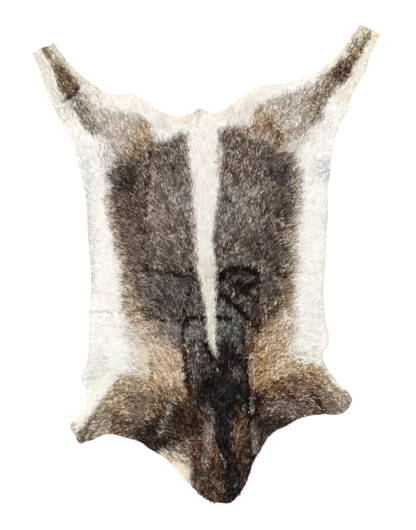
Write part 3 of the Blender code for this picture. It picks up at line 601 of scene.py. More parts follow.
        (72, -423), (114, -422), (118, -419), (105, -457), (84, -491), (83, -492), (67, -449))),
    Marking("neck top right", 11, Tone((13, 3, 2), (53, 35, 29), 0.4), (
        (67, -260), (88, -260), (109, -266), (130, -278), (139, -297), (133, -314), (118, -335),
        (105, -327), (80, -310), (63, -297))),
    Marking("neck ridge", 11, Tone((82, 60, 47), (157, 137, 121), 0.6), (
        (-4, -346), (15, -341), (21, -362), (15, -381), (7, -407), (2, -440), (-8, -440), (-8, -402),
        (-6, -371))),
    Marking("right foreleg", 11, Tone((53, 25, 8), (130, 113, 97), 0.8), (
        (130, -285), (166, -260), (185, -234), (202, -213), (223, -201), (244, -213), (280, -223),
        (293, -247), (303, -251), (322, -282), (307, -317), (287, -329), (252, -333), (212, -337),
        (189, -348), (162, -361), (139, -381), (114, -344), (118, -314))),
    Marking("right foreleg end", 11, Tone((92, 69, 53), (179, 166, 151), 0.8), (
        (244, -243), (265, -251), (302, -254), (322, -282), (291, -329), (268, -331), (256, -293),
        (240, -268))),
    Marking("right foreleg slate low", 8, Tone((102, 80, 62), (140, 128, 117), 0.7), (
        (231, -272), (261, -272), (275, -289), (273, -327), (248, -327), (235, -297))),
    Marking("right foreleg honey", 12, Tone((139, 87, 32), (203, 185, 151), 0.9), (
        (172, -215), (202, -209), (227, -207), (266, -209), (286, -230), (244, -251), (210, -239),
        (181, -232), (164, -228))),
    Marking("right foreleg brow", 9, Tone((93, 55, 28), (151, 130, 105), 0.8), (
        (181, -232), (202, -224), (227, -230), (244, -243), (223, -251), (193, -251))),
    Marking("right foreleg top pale", 9, Tone((142, 119, 86), (213, 203, 184), 0.7), (
        (240, -226), (270, -214), (295, -247), (317, -260), (309, -289), (286, -291), (269, -278),
        (250, -262))),
    Marking("right foreleg slate", 12, Tone((99, 58, 37), (148, 132, 115), 0.8), (
        (172, -243), (214, -243), (244, -255), (235, -272), (193, -268), (168, -257))),
    Marking("right foreleg pale", 10, Tone((72, 56, 48), (133, 118, 108), 0.8), (
        (139, -287), (164, -281), (193, -285), (202, -310), (168, -323), (143, -308))),
    Marking("right foreleg dark", 11, Tone((34, 17, 8), (69, 55, 48), 0.5), (
        (105, -314), (147, -316), (179, -323), (178, -355), (139, -381), (107, -348))),
    Marking("right foreleg edge", 4, Tone((211, 204, 191), (254, 245, 230), 0.3), (
        (217, -194), (231, -203), (240, -213), (248, -224), (256, -234), (265, -245), (273, -255),
        (284, -264), (311, -251), (282, -209), (261, -180), (231, -184))),
    Marking("right flank corner", 6, Tone((229, 226, 217), (254, 250, 241), 0.3), (
        (204, -176), (231, -171), (246, -184), (248, -205), (235, -211), (214, -201))),
    Marking("black patch", 10, Tone((20, 11, 2), (44, 40, 39), 0.1), (
        (24, -165), (42, -159), (59, -165), (76, -180), (80, -222), (78, -268), (67, -293), (38, -297),
        (4, -295), (-21, -291), (-29, -278), (-17, -255), (0, -243), (13, -220), (20, -197), (23, -184))),
    Marking("black patch grey", 8, Tone((24, 18, 12), (82, 76, 70), 0.6), (
        (55, -209), (74, -209), (76, -239), (67, -260), (55, -243))),
    Marking("black patch middle", 7, Tone((2, 2, 2), (20, 15, 10), 0.6), (
        (-6, -245), (17, -239), (51, -243), (78, -247), (78, -270), (34, -272), (-8, -270))),
    Marking("black patch low", 10, Tone((3, 3, 3), (33, 28, 27), 0.3), (
        (-4, -268), (72, -268), (88, -285), (63, -302), (21, -302), (0, -293))),
)

# Narrow marks, painted over the others. A path has x, y and half the width of each of its places.
STREAKS = (
    Streak("dorsal stripe top", 5, Tone((245, 241, 235), (254, 250, 244), 0.0), (
        (-6, 286, 27.3), (-5, 257, 29.4), (-2, 209, 29.4), (-1, 177, 27.7), (-2, 135, 26.0),
        (-4, 110, 21.6))),
    Streak("dorsal stripe middle", 5, Tone((245, 243, 237), (254, 252, 246), 0.0), (
        (-3, 110, 19.9), (-2, 76, 19.3), (-3, 51, 16.4), (-1, 30, 16.4), (0, 5, 15.5), (1, -16, 14.7))),
    Streak("dorsal stripe low", 4, Tone((233, 228, 216), (254, 249, 236), 0.5), (
        (0, -1, 14.3), (1, -22, 13.9), (3, -41, 12.8), (4, -56, 11.6), (5, -71, 10.5), (6, -81, 10.1),
        (9, -102, 10.1), (12, -127, 9.9), (13, -150, 8.4), (16, -167, 5.2), (18, -180, 2.5),
        (19, -188, 1.3))),
    Streak("stripe speck", 2, GREY_SHADE, ((4, -12, 2.1), (5, -24, 2.5))),
    Streak("stripe tan tip", 2, Tone((140, 108, 74), (250, 224, 183), 0.7), (
        (19, -184, 1.7), (20, -197, 1.1))),
    Streak("stripe right haze", 4, Tone((167, 156, 146), (254, 237, 222), 0.6), (
        (23, 249, 4.2), (26, 219, 4.2), (25, 190, 3.4))),
    Streak("tail streak", 4, Tone((194, 189, 180), (220, 214, 204), 0.2), (
        (-14, 324, 3.8), (-13, 312, 3.6), (-15, 301, 2.3), (-17, 293, 1.3))),
    Streak("belly spot", 3, GREY_SHADE, ((-227, -165, 3.4), (-224, -166, 2.5))),
    Streak("left shank crease", 3, CREASE_BROWN, (
        (-259, 377, 3.8), (-270, 366, 5.5), (-281, 354, 5.9), (-290, 345, 5.0), (-296, 342, 3.8))),
    Streak("left shank crease pale", 2.5, GREY_SHADE, ((-245, 385, 1.7), (-260, 376, 2.1))),
    # Painted highlight along the ridge of the left storage fold.
    Streak("left fold light", 2, Tone((122, 104, 91), (184, 168, 154), 0.1), (
        (-112, 202, 2.5), (-113, 167, 3.4), (-116, 139, 3.8), (-119, 110, 3.8), (-119, 81, 2.1))),
    # Painted shade beside the left storage fold.
    Streak("left fold dark", 4, Tone((51, 26, 11), (162, 146, 134), 0.3), (
        (-118, 207, 2.5), (-122, 156, 3.2), (-125, 125, 3.8), (-129, 100, 4.0))),
    Streak("left fold crease", 2, CREASE_BROWN, (
        (-119, 219, 1.7), (-121, 186, 2.1), (-123, 152, 2.7), (-126, 125, 3.2), (-129, 102, 2.9))),
    Streak("left fold nick", 4, CREASE_BROWN, ((-117, 236, 4.6), (-117, 224, 4.2))),
    Streak("left fold notch", 4, CREASE_BROWN, ((-143, 74, 3.4), (-128, 71, 5.0), (-115, 74, 2.1))),
    Streak("left fold low dark", 4, CREASE_BROWN, ((-130, 51, 2.9), (-129, 30, 3.4), (-122, 22, 2.1))),
    Streak("left fold foot dark", 3.0, CREASE_DARK, ((-123, -1, 2.5), (-122, -16, 3.4), (-122, -35, 2.3))),
    # Painted highlight along the lower run of the left storage fold.
    Streak("left fold foot light", 1.5, Tone((78, 61, 53), (142, 132, 123), 0.2), (
        (-116, 13, 2.1), (-114, -20, 3.4), (-115, -54, 3.2), (-115, -79, 1.9))),
    Streak("left back crease", 4.5, CREASE_DARK, (
        (-113, -10, 1.7), (-94, -14, 3.4), (-69, -19, 5.0), (-54, -23, 5.9), (-38, -23, 4.6),
        (-21, -26, 2.5))),
    Streak("left back notch", 3.8, CREASE_DARK, ((-29, 1, 2.1), (-35, -14, 4.2))),
    Streak("left back patch", 4, Tone((21, 16, 14), (77, 67, 62), 0.3), (
        (-29, -37, 7.4), (-19, -41, 8.8), (-17, -54, 5.9))),
    # Painted sheen: the two chevrons are lighter lines of hair on either side of the wedge.
    Streak("chevron left", 2, Tone((96, 90, 86), (160, 156, 152), 0.1), (
        (-34, -35, 2.5), (-43, -60, 2.7), (-52, -87, 2.1))),
    Streak("chevron right", 2, Tone((44, 41, 37), (105, 106, 104), 0.1), (
        (-33, -35, 2.5), (-25, -58, 2.7), (-16, -85, 2.1))),
    Streak("left back wedge", 4, CREASE_DARK, (
        (-34, -45, 1.7), (-38, -66, 5.0), (-43, -87, 5.5), (-47, -102, 3.8))),
    Streak("left loin dimple", 4, CREASE_DARK, (
        (-46, -119, 5.0), (-33, -114, 6.3), (-19, -112, 4.6), (-4, -113, 4.2))),
    Streak("left dimple drop", 4, CREASE_DARK, ((-40, -113, 5.2), (-35, -127, 3.4))),
    Streak("left loin line", 4, Tone((33, 22, 16), (41, 21, 13), 0.6), (
        (-134, -117, 1.7), (-46, -118, 2.9))),
    # Painted shade along a fold across the hide, greyer on the white hair and browner on the dark.
    Streak("cross fold pale", 1.5, Tone((190, 183, 172), (207, 204, 198), 0.1), (
        (-248, -100, 1.3), (-185, -99, 1.5), (-159, -99, 1.5))),
    Streak("cross fold brown", 2, Tone((50, 37, 29), (112, 95, 84), 0.6), (
        (-159, -99, 1.5), (-124, -98, 1.7), (-80, -100, 1.3))),
    Streak("long crease", 3.5, CREASE_DARK, ((-46, -123, 3.4), (-47, -148, 4.4), (-48, -184, 4.4))),
    # Painted shade in the lower run of the long crease.
    Streak("long crease brown", 4, Tone((47, 29, 11), (68, 19, 8), 0.4), (
        (-47, -180, 5.0), (-44, -211, 7.6), (-40, -247, 8.6), (-33, -281, 7.6))),
    Streak("left gold line", 2, Tone((79, 27, 3), (134, 100, 60), 0.5), (
        (-113, -194, 1.7), (-112, -232, 2.1), (-111, -268, 2.1))),
    Streak("left cream line", 1.5, TAN_CREAM, ((-108, -194, 1.7), (-107, -232, 1.7), (-107, -272, 1.5))),
    Streak("left second gold line", 2, GOLD_LINE, ((-71, -211, 2.5), (-68, -239, 2.5))),
    # Painted highlight along the right storage fold.
    Streak("right fold light top", 1.5, Tone((54, 33, 24), (122, 121, 117), 0.3), (
        (116, 240, 0.8), (115, 188, 1.5), (118, 135, 1.5), (118, 81, 1.7), (118, 51, 1.7))),
    Streak("right fold light low", 1.5, Tone((70, 58, 52), (131, 122, 118), 0.2), (
        (119, 60, 2.9), (117, 26, 3.4), (117, -3, 3.2), (117, -54, 3.2), (116, -100, 2.5),
        (116, -138, 1.7))),
    Streak("right fold dark", 2.2, CREASE_BROWN, ((122, 118, 1.3), (122, 76, 1.3))),
    Streak("right edge fold", 4, CREASE_BROWN, ((141, -14, 2.5), (162, -26, 4.2), (181, -31, 2.5))),
    Streak("right edge fold top", 4, CREASE_BROWN, ((135, 53, 2.1), (156, 41, 3.8), (172, 30, 2.5))),
    Streak("right arc light", 2, Tone((20, 3, 3), (51, 40, 32), 0.5), (
        (51, -26, 2.1), (72, -20, 2.7), (93, -24, 2.5), (107, -35, 1.7))),
    Streak("right loin bar", 4.5, CREASE_DARK, (
        (28, -18, 4.6), (46, -10, 4.2), (72, -7, 4.6), (97, -11, 4.6), (109, -22, 5.0))),
    # Painted sheen streak.
    Streak("right apex light", 2, PAINTED_SHEEN, ((23, -62, 1.7), (32, -50, 2.5), (46, -47, 2.1))),
    Streak("right stripe notch", 3, CREASE_DARK, ((22, -71, 1.9), (23, -83, 2.5))),
    Streak("right slant", 4, CREASE_DARK, (
        (23, -73, 4.2), (33, -63, 6.7), (44, -71, 7.8), (60, -85, 8.4), (75, -100, 8.6), (89, -115, 7.6),
        (105, -131, 4.6))),
    Streak("right slant tail", 3, Tone((70, 40, 23), (132, 91, 59), 0.5), (
        (103, -117, 2.9), (112, -129, 2.5))),
    Streak("right loin dimple", 4, CREASE_DARK, ((23, -110, 6.9), (38, -113, 8.2), (55, -115, 5.0))),
    Streak("right fold side dark", 4, Tone((11, 5, 2), (61, 51, 47), 0.3), (
        (78, -121, 4.6), (78, -159, 4.6), (76, -205, 4.2))),
    Streak("right flank grey", 3, Tone((60, 43, 33), (182, 176, 168), 0.6), (
        (88, -123, 2.9), (93, -142, 4.2), (88, -165, 2.5))),
    Streak("right rust line", 4, CREASE_BROWN, ((109, -108, 4.6), (114, -129, 5.0), (109, -150, 3.8))),
    Streak("right inner rust", 3, Tone((11, 2, 2), (19, 8, 8), 0.4), (
        (88, -192, 3.8), (88, -226, 4.6), (91, -260, 4.2))),
    Streak("neck left streak", 4, Tone((101, 85, 74), (183, 172, 160), 0.1), (
        (-74, -289, 2.5), (-77, -306, 3.8), (-83, -323, 5.0), (-89, -341, 5.0), (-95, -354, 3.2))),
    Streak("neck ridge light", 5, Tone((111, 82, 65), (175, 165, 152), 0.6), (
        (2, -335, 3.4), (7, -360, 4.6), (0, -386, 3.4), (0, -407, 3.4), (-2, -428, 4.2))),
    Streak("neck thin streak", 3, Tone((63, 57, 54), (138, 135, 134), 0.3), (
        (1, -289, 2.1), (8, -310, 3.6), (15, -331, 3.2))),
    Streak("black line", 5, Tone((17, 11, 8), (44, 41, 41), 0.1), (
        (38, -281, 31.5), (36, -310, 22.1), (35, -337, 17.9), (38, -369, 15.1), (42, -394, 12.6),
        (47, -415, 11.3))),
    Streak("black line low", 5, Tone((9, 5, 3), (38, 31, 28), 0.1), (
        (47, -415, 11.3), (55, -440, 16.8), (57, -465, 19.9), (53, -491, 16.8))),
    Streak("black line blue", 3, Tone((31, 25, 23), (71, 67, 68), 0.2), (
        (53, -432, 6.3), (59, -446, 6.3), (63, -465, 4.2))),
    Streak("black line edge light", 1.5, Tone((188, 172, 146), (253, 244, 224), 0.35), (
        (32, -398, 1.1), (38, -413, 1.7), (41, -423, 1.5))),
    Streak("neck right streak", 3, NECK_PALE, ((96, -285, 2.5), (95, -310, 3.2))),
    Streak("neck right grey", 6, Tone((101, 86, 76), (146, 135, 122), 0.6), (
        (101, -335, 5.0), (105, -365, 7.6), (102, -390, 5.5))),
    Streak("neck right dark line", 3.0, CREASE_DARK, (
        (88, -285, 3.8), (89, -316, 3.4), (92, -358, 2.7), (93, -402, 3.4))),
    Streak("neck right spot", 3, NECK_PALE, ((57, -356, 3.4), (65, -360, 4.2))),
    # Painted sheen streak.
    Streak("neck top light", 3, PAINTED_SHEEN, ((76, -293, 3.2), (78, -304, 4.2))),
    Streak("right foreleg crease", 4, CREASE_BROWN, (
        (222, -262, 3.6), (231, -281, 4.6), (240, -295, 5.2), (248, -312, 5.9))),
    Streak("right foreleg dark one", 4, Tone((61, 36, 9), (103, 58, 38), 0.4), (
        (164, -260, 4.0), (179, -268, 5.0), (191, -287, 3.6))),
    Streak("right foreleg dark two", 4, Tone((35, 6, 2), (94, 74, 60), 0.4), (
        (118, -268, 3.2), (139, -276, 4.2), (160, -276, 3.2))),
    Streak("right foreleg gold", 3, GOLD_LINE, ((223, -255, 2.5), (240, -247, 3.4))),
)

# How the hair lies: x, y of a place, the way its hair points in degrees, and the hair's length
LAY = (
    (-344, 429, 113, 9), (-315, 377, 116, 9), (-302, 314, 113, 11), (-281, 240, 112, 14),
    (-264, 404, 126, 9), (-239, 320, 120, 13), (-189, 312, 120, 14), (-138, 328, 133, 14),
    (-201, 261, 110, 15), (-138, 278, 108, 15), (-92, 286, 121, 15), (-54, 291, 107, 15), (-4, 295, 92, 15),
    (34, 286, 74, 15), (76, 286, 70, 15), (122, 328, 66, 14), (168, 324, 66, 14), (210, 328, 54, 14),
    (248, 337, 53, 13), (286, 320, 62, 13), (214, 270, 55, 15), (244, 396, 44, 10), (286, 408, 46, 9),
    (296, 362, 58, 10), (328, 463, 53, 8), (-222, 236, 111, 16), (-176, 230, 121, 15), (-134, 223, 124, 16),
    (-92, 240, 128, 16), (-54, 236, 102, 16), (-4, 236, 96, 15), (34, 236, 80, 16), (80, 230, 70, 16),
    (160, 228, 48, 16), (206, 228, 57, 17), (-227, 160, 128, 17), (-180, 160, 150, 16),
    (-134, 165, 112, 17), (-92, 156, 103, 17), (-54, 160, 100, 17), (0, 156, 92, 15), (38, 160, 76, 17),
    (76, 156, 77, 17), (118, 156, 70, 17), (160, 156, 44, 17), (210, 165, 46, 17), (-231, 110, 164, 17),
    (-180, 106, 170, 16), (-134, 97, 128, 17), (-92, 106, 124, 17), (-50, 102, 115, 17), (0, 93, 96, 15),
    (42, 93, 78, 17), (80, 102, 73, 17), (118, 93, 72, 17), (164, 102, 35, 17), (214, 104, 22, 17),
    (-222, 34, 170, 17), (-180, 30, 166, 16), (-134, 30, 150, 17), (-92, 30, 142, 17), (-50, 39, 122, 17),
    (0, 30, 100, 15), (42, 30, 82, 17), (80, 34, 66, 17), (122, 30, 66, 17), (164, 39, 26, 17),
    (214, 39, 18, 17), (-180, -45, 163, 16), (-134, -45, 154, 17), (-92, -54, 140, 17), (-50, -54, 116, 17),
    (4, -54, 98, 13), (42, -50, 84, 16), (80, -54, 62, 17), (122, -50, 66, 17), (164, -54, 24, 17),
    (210, -41, 20, 17), (-222, -121, 172, 17), (-176, -125, 170, 16), (-134, -129, 158, 15),
    (-92, -134, 146, 15), (-50, -138, 110, 16), (4, -134, 98, 12), (42, -129, 92, 16), (80, -134, 76, 16),
    (118, -134, 52, 15), (164, -129, 28, 15), (210, -138, 26, 16), (-222, -197, 178, 15),
    (-172, -192, 176, 14), (-130, -192, 160, 14), (-92, -201, 134, 15), (-50, -205, 108, 16),
    (-4, -205, 102, 16), (42, -209, 94, 16), (84, -205, 62, 15), (122, -205, 48, 14), (168, -209, 34, 13),
    (210, -205, 8, 13), (-231, -251, 212, 12), (-180, -251, 194, 12), (-134, -251, 184, 13),
    (-92, -260, 130, 14), (-50, -268, 120, 16), (-4, -276, 104, 16), (42, -276, 82, 17), (88, -268, 72, 15),
    (130, -268, 40, 13), (177, -255, 4, 12), (223, -243, -18, 11), (-260, -289, 230, 10),
    (-214, -297, 212, 11), (-164, -302, 196, 12), (-256, -352, 212, 9), (-206, -344, 203, 11),
    (-159, -352, 188, 12), (-122, -339, 168, 14), (-84, -323, 132, 16), (168, -306, -4, 13),
    (219, -293, -14, 11), (277, -285, -34, 10), (135, -335, 30, 13), (-46, -339, 140, 16),
    (-4, -335, 118, 16), (38, -348, 92, 16), (80, -348, 78, 16), (109, -356, 64, 15), (-75, -390, 142, 14),
    (-38, -398, 142, 14), (-4, -398, 114, 16), (38, -402, 104, 15), (80, -402, 78, 15),
    (-46, -444, 128, 13), (-4, -449, 120, 14), (38, -453, 104, 14), (76, -449, 72, 13), (9, -486, 122, 12),
    (55, -482, 76, 12),
)


# Numbers over the hide

def between_cells(values, row, column, up, across):
    """A grid's values at a share up and across from the points at some rows and columns."""
    below = values[row, column] * (1 - across) + values[row, column + 1] * across
    above = values[row + 1, column] * (1 - across) + values[row + 1, column + 1] * across
    return below * (1 - up) + above * up


class Field:
    """Values on an even grid over the hide, read anywhere between its points."""

    def __init__(self, low, step, values):
        self.low = np.array(low)
        self.step = step
        self.values = values

    def at(self, points):
        rows, columns = self.values.shape
        place = (points - self.low) / self.step
        across = np.clip(place[:, 0], 0, columns - BEFORE_LAST_POINT)
        up = np.clip(place[:, 1], 0, rows - BEFORE_LAST_POINT)
        column = across.astype(int)
        row = up.astype(int)
        return between_cells(self.values, row, column, up - row, across - column)


def grid_points(low, high, step):
    """Points of an even grid from low to high, with the number of its rows and columns."""
    across = np.arange(low[0], high[0] + step, step)
    up = np.arange(low[1], high[1] + step, step)
    columns, rows = np.meshgrid(across, up)
    return np.column_stack((columns.ravel(), rows.ravel())), (len(up), len(across))


def soft_step(values):
    values = np.clip(values, 0, 1)
    return values * values * (3 - 2 * values)


def mottle(points, size, seed):
    """Smooth random values from -1 to 1 that change over about the given size."""
    source = np.random.default_rng(seed)
    count = int(2 * MOTTLE_REACH / size) + 3
    lattice = source.random((count, count)) * 2 - 1
    place = (points + MOTTLE_REACH) / size
    cell = place.astype(int)
    part = soft_step(place - cell)
    return between_cells(lattice, cell[:, 1], cell[:, 0], part[:, 1], part[:, 0])


def mottled(points, *patterns):
    """Sum of some mottle patterns, each from minus to plus its share."""
    return sum(pattern.share * mottle(points, pattern.size, pattern.seed) for pattern in patterns)


def beside_run(points, start, end):
    """How far along a straight run each point lies, from 0 to 1, and its squared distance."""
    run = end - start
    along = np.clip(((points - start) @ run) / max(run @ run, LEAST_SQUARE), 0, 1)
    apart = points - start - along[:, None] * run
    return along, (apart * apart).sum(axis=1)


def signed_depth(points, outline):
    """How far each point lies inside a closed outline, negative outside it."""
    nearest = np.full(len(points), FAR)
    within = np.zeros(len(points), bool)
    x, y = points[:, 0], points[:, 1]
    for start, end in zip(outline, np.roll(outline, -1, axis=0)):
        nearest = np.minimum(nearest, beside_run(points, start, end)[1])
        if start[1] != end[1]:
            crossed = (start[1] > y) != (end[1] > y)
            level = start[0] + (y - start[1]) / (end[1] - start[1]) * (end[0] - start[0])
            within ^= crossed & (x < level)
    return np.where(within, 1, -1) * np.sqrt(nearest)


def streak_depth(points, path):
    """How far each point lies inside a streak whose path gives a place and half its width."""
    deepest = np.full(len(points), -FAR)
    for start, end in zip(path, path[1:]):
        along, square = beside_run(points, start[:2], end[:2])
        half = start[2] + along * (end[2] - start[2])
        deepest = np.maximum(deepest, half - np.sqrt(square))
    return deepest


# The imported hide, read for its rim and the height of its coat

def welded(node):
    """Points of a node with doubles joined, and its triangles as numbers of them."""
    mesh = node.data
    mesh.calc_loop_triangles()
    points = np.empty(len(mesh.vertices) * 3)
    mesh.vertices.foreach_get("co", points)
    points = points.reshape(-1, 3)
    faces = np.empty(len(mesh.loop_triangles) * 3, int)
    mesh.loop_triangles.foreach_get("vertices", faces)
    _, first, number = np.unique(
        np.round(points / WELD), axis=0, return_index=True, return_inverse=True
    )
    return points[first], number.reshape(-1)[faces].reshape(-1, 3)


def flesh_outline(points, faces):
    """The edge of the hide's flat underside, in order."""
    flat = faces[(points[faces][:, :, 2] < LEVEL).all(axis=1)]
    following = {}
    seen = {}
    for face in flat:
        for start, end in zip(face, np.roll(face, -1)):
            seen[(start, end)] = True
    for start, end in seen:
        if (end, start) not in seen:
            following[start] = end
    first = next(iter(following))
    ring = [first]
    while following[ring[-1]] != first:
        ring.append(following[ring[-1]])
    outline = points[ring][:, :2]
    x, y = outline[:, 0], outline[:, 1]
    turning = (x * np.roll(y, -1) - y * np.roll(x, -1)).sum()
    return outline if turning > 0 else outline[::-1]


def flat_area(outline):
    x, y = outline[:, 0], outline[:, 1]
    return abs((x * np.roll(y, -1) - y * np.roll(x, -1)).sum()) / 2


def coat_top_field(points, faces, low, high):
    """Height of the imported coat's upper face."""
    tree = BVHTree.FromPolygons(points.tolist(), faces.tolist())
    places, shape = grid_points(low, high, 2 * FIELD_STEP)
    down = Vector((0, 0, -1))
    heights = np.empty(len(places))
    for index, (x, y) in enumerate(places):
        hit = tree.ray_cast(Vector((x, y, ABOVE_THE_COAT)), down)[0]
        heights[index] = SKIN_THICKNESS if hit is None else hit.z
    return Field(low, 2 * FIELD_STEP, heights.reshape(shape))


def fold_lift(points):
    """How far the skin stands up along its raised folds."""
    lift = np.zeros(len(points))
    for fold in FOLDS:
        path = [np.array((x, y, fold.width)) * MM for x, y in fold.path]
        depth = streak_depth(points, path) / (fold.width * MM)
        lift = np.maximum(lift, soft_step(depth) * fold.rise * MM)
    return lift


class Hide:
    """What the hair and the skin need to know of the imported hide."""

    def __init__(self, node):
        points, faces = welded(node)
        self.outline = flesh_outline(points, faces)
        self.low = self.outline.min(axis=0) - FIELD_MARGIN
        self.high = self.outline.max(axis=0) + FIELD_MARGIN
        places, shape = grid_points(self.low, self.high, FIELD_STEP)
        depth = signed_depth(places, self.outline).reshape(shape)
        self.depth = Field(self.low, FIELD_STEP, depth)
        self.top = coat_top_field(points, faces, self.low, self.high)
        places, shape = grid_points(self.low, self.high, CREASE_STEP)
        self.crease = Field(self.low, CREASE_STEP, crease_cover(places).reshape(shape))


# Colours of the coat at a place

def linear(colour):
    """Screen colour from 0 to 255 as the light it stands for."""
    part = np.array(colour) / 255
    return np.where(part <= 0.04045, part / 12.92, ((part + 0.055) / 1.055) ** 2.4)


def near(points, corners, margin):
    low = corners.min(axis=0) - margin
    high = corners.max(axis=0) + margin
    return ((points > low) & (points < high)).all(axis=1)


def crease_cover(points):
    """1 in the middle of each parted crease, fading to 0 beside it."""
    cover = np.zeros(len(points))
    for streak in STREAKS:
        if streak.tone not in PARTED_TONES:
            continue
        path = np.array(streak.path) * MM
        chosen = near(points, path[:, :2], CREASE_REACH)
        depth = streak_depth(points[chosen], path)
        cover[chosen] = np.maximum(cover[chosen], soft_step(depth / CREASE_SOFT + CREASE_EDGE))
    return cover


class CoatColours:
    """Dark and light colour and ticking of the hair at each of some points."""

    def __init__(self, points, scatter):
        count = len(points)
        drift = [mottle(points, WANDER_SIZE, seed) for seed in WANDER_SEEDS]
        points = points + np.column_stack(drift) * WANDER
        self.dark = np.tile(linear(GROUND.dark), (count, 1))
        self.light = np.tile(linear(GROUND.light), (count, 1))
        self.ticking = np.full(count, GROUND.ticking)
        self.ruffle = mottled(points, *RUFFLES) + RUFFLE_BY_SCATTER * scatter
        for marking in MARKINGS:
            corners = np.array(marking.outline) * MM
            chosen = near(points, corners, 2 * marking.soft * MM)
            self.paint(chosen, signed_depth(points[chosen], corners), marking)
        for streak in STREAKS:
            path = np.array(streak.path) * MM
            margin = path[:, 2].max() + 2 * streak.soft * MM
            chosen = near(points, path[:, :2], margin)
            self.paint(chosen, streak_depth(points[chosen], path), streak)

    def paint(self, chosen, depth, mark):
        ruffled = depth / (mark.soft * MM) + RUFFLE_AT_EDGE * self.ruffle[chosen]
        cover = soft_step(ruffled * EDGE_SHARPNESS + 0.5)
        self.dark[chosen] += (linear(mark.tone.dark) - self.dark[chosen]) * cover[:, None]
        self.light[chosen] += (linear(mark.tone.light) - self.light[chosen]) * cover[:, None]
        self.ticking[chosen] += (mark.tone.ticking - self.ticking[chosen]) * cover


# Hair

def shaded_colour(dark, light, shade):
    """Colour at a shade from 0, dark, to 1, light. Past light it keeps some of that hue."""
    below = np.minimum(shade, 1)[:, None]
    beyond = np.maximum(shade - 1, 0)[:, None]
    even = ((light @ BRIGHTNESS_SHARES) / (dark @ BRIGHTNESS_SHARES))[:, None]
    contrast = even**PALE_HUE_KEPT * (light / dark) ** (1 - PALE_HUE_KEPT)
    colour = dark ** (1 - below) * light**below * contrast**beyond
    return colour * np.minimum(1, PALEST / colour.max(axis=1))[:, None]


def lay_at(points):
    """Which way the hair lies at each point, as an angle, and how long it is."""
    total = np.zeros(len(points))
    across = np.zeros(len(points))
    up = np.zeros(len(points))
    length = np.zeros(len(points))
    for x, y, towards, long in LAY:
        apart = ((points - np.array((x, y)) * MM) ** 2).sum(axis=1)
        weight = 1 / (apart + LAY_BLEND**2) ** 2
        total += weight
        across += weight * math.cos(math.radians(towards))
        up += weight * math.sin(math.radians(towards))
        length += weight * long * MM
    return np.arctan2(up, across), length / total


def headings(angles):
    return np.column_stack((np.cos(angles), np.sin(angles)))


def sideways(ways):
    return np.column_stack((-ways[:, 1], ways[:, 0]))


class Tufts:
    """Centres that neighbouring locks lean towards, each with its own shade and bearing."""

    def __init__(self, hide, seed):
        source = np.random.default_rng(seed)
        self.low = hide.low - TUFT_MARGIN * TUFT
        columns, rows = ((hide.high - self.low) / TUFT).astype(int) + 2 * TUFT_MARGIN
        self.shift = source.random((rows, columns, 2))
        self.shade = source.normal(0, 1, (rows, columns))
        self.turn = source.normal(0, 1, (rows, columns))
        self.stretch = source.uniform(*TUFT_STRETCH, (rows, columns))
        self.rise = source.uniform(*TUFT_RISE, (rows, columns))
        self.scatter = source.normal(0, 1, (rows, columns))

    def nearest(self, points, ways):
        """Row and column of each point's tuft, and the tuft's centre."""
        cell = ((points - self.low) / TUFT).astype(int)
        best = np.full(len(points), FAR)
        chosen = np.zeros((len(points), 2), int)
        centre = np.zeros((len(points), 2))
        for across in TUFT_NEIGHBOURS:
            for up in TUFT_NEIGHBOURS:
                column = cell[:, 0] + across
                row = cell[:, 1] + up
                place = self.low + (np.column_stack((column, row)) + self.shift[row, column]) * TUFT
                apart = points - place
                along = (apart * ways).sum(axis=1) / TUFT_SLENDERNESS
                aside = apart[:, 0] * ways[:, 1] - apart[:, 1] * ways[:, 0]
                distance = along**2 + aside**2
                closer = distance < best
                best[closer] = distance[closer]
                chosen[closer] = np.column_stack((row, column))[closer]
                centre[closer] = place[closer]
        return chosen[:, 0], chosen[:, 1], centre


def lock_roots(hide, source, count):
    """Places for about the given number of locks, evenly strewn over the skin."""
    spacing = math.sqrt(flat_area(hide.outline) / count)
    places, _ = grid_points(hide.low, hide.high, spacing)
    places = places + source.random(places.shape) * spacing
    return places[hide.depth.at(places) > 0]


def room_before_rim(hide, roots, reach, overhang):
    """Share of its reach that each hair has before it passes the rim."""
    short = np.zeros(len(roots))
    long = np.ones(len(roots))
    for _ in range(RIM_HALVINGS):
        middle = (short + long) / 2
        within = hide.depth.at(roots + reach * middle[:, None]) > -overhang
        short = np.where(within, middle, short)
        long = np.where(within, long, middle)
    clear = hide.depth.at(roots + reach) > -overhang
    return np.where(clear, 1.0, np.maximum(short, LEAST_ROOM_AT_RIM))


def room_before_crease(hide, roots, reach):
    """Share of its reach that each lock has before it meets a crease."""
    room = np.ones(len(roots))
    parted_root = hide.crease.at(roots) > PARTED_COVER
    for share in SHARES_TRIED:
        parted = (hide.crease.at(roots + reach * share) > PARTED_COVER) & ~parted_root
        room = np.where(parted, np.minimum(room, share - CLEAR_OF_CREASE), room)
    room = np.where(parted_root, np.minimum(room, ROOM_IN_CREASE), room)
    return np.maximum(room, LEAST_ROOM_AT_CREASE)


def lock_reach(tufts, roots, source, layer):
    """How far and which way each lock reaches, leaning to its tuft, and that tuft's place."""
    angle, length = lay_at(roots)
    row, column, centre = tufts.nearest(roots, headings(angle))
    angle = angle + mottled(roots, LOCK_SWIRL) + LOCK_TURN * tufts.turn[row, column]
    angle += source.normal(0, LOCK_STRAY, len(roots))
    length = length * layer.length * tufts.stretch[row, column]
    length = length * source.uniform(*LOCK_LENGTH, len(roots))
    way = headings(angle)
    side = sideways(way)
    pull = (centre - roots) * min(1, TUFT_PULL * layer.tufted)
    pull_along = (pull * way).sum(axis=1) * TUFT_PULL_ALONG
    pull_aside = (pull * side).sum(axis=1) * TUFT_PULL_ASIDE
    reach = way * (length + pull_along)[:, None] + side * pull_aside[:, None]
    return reach, row, column, centre


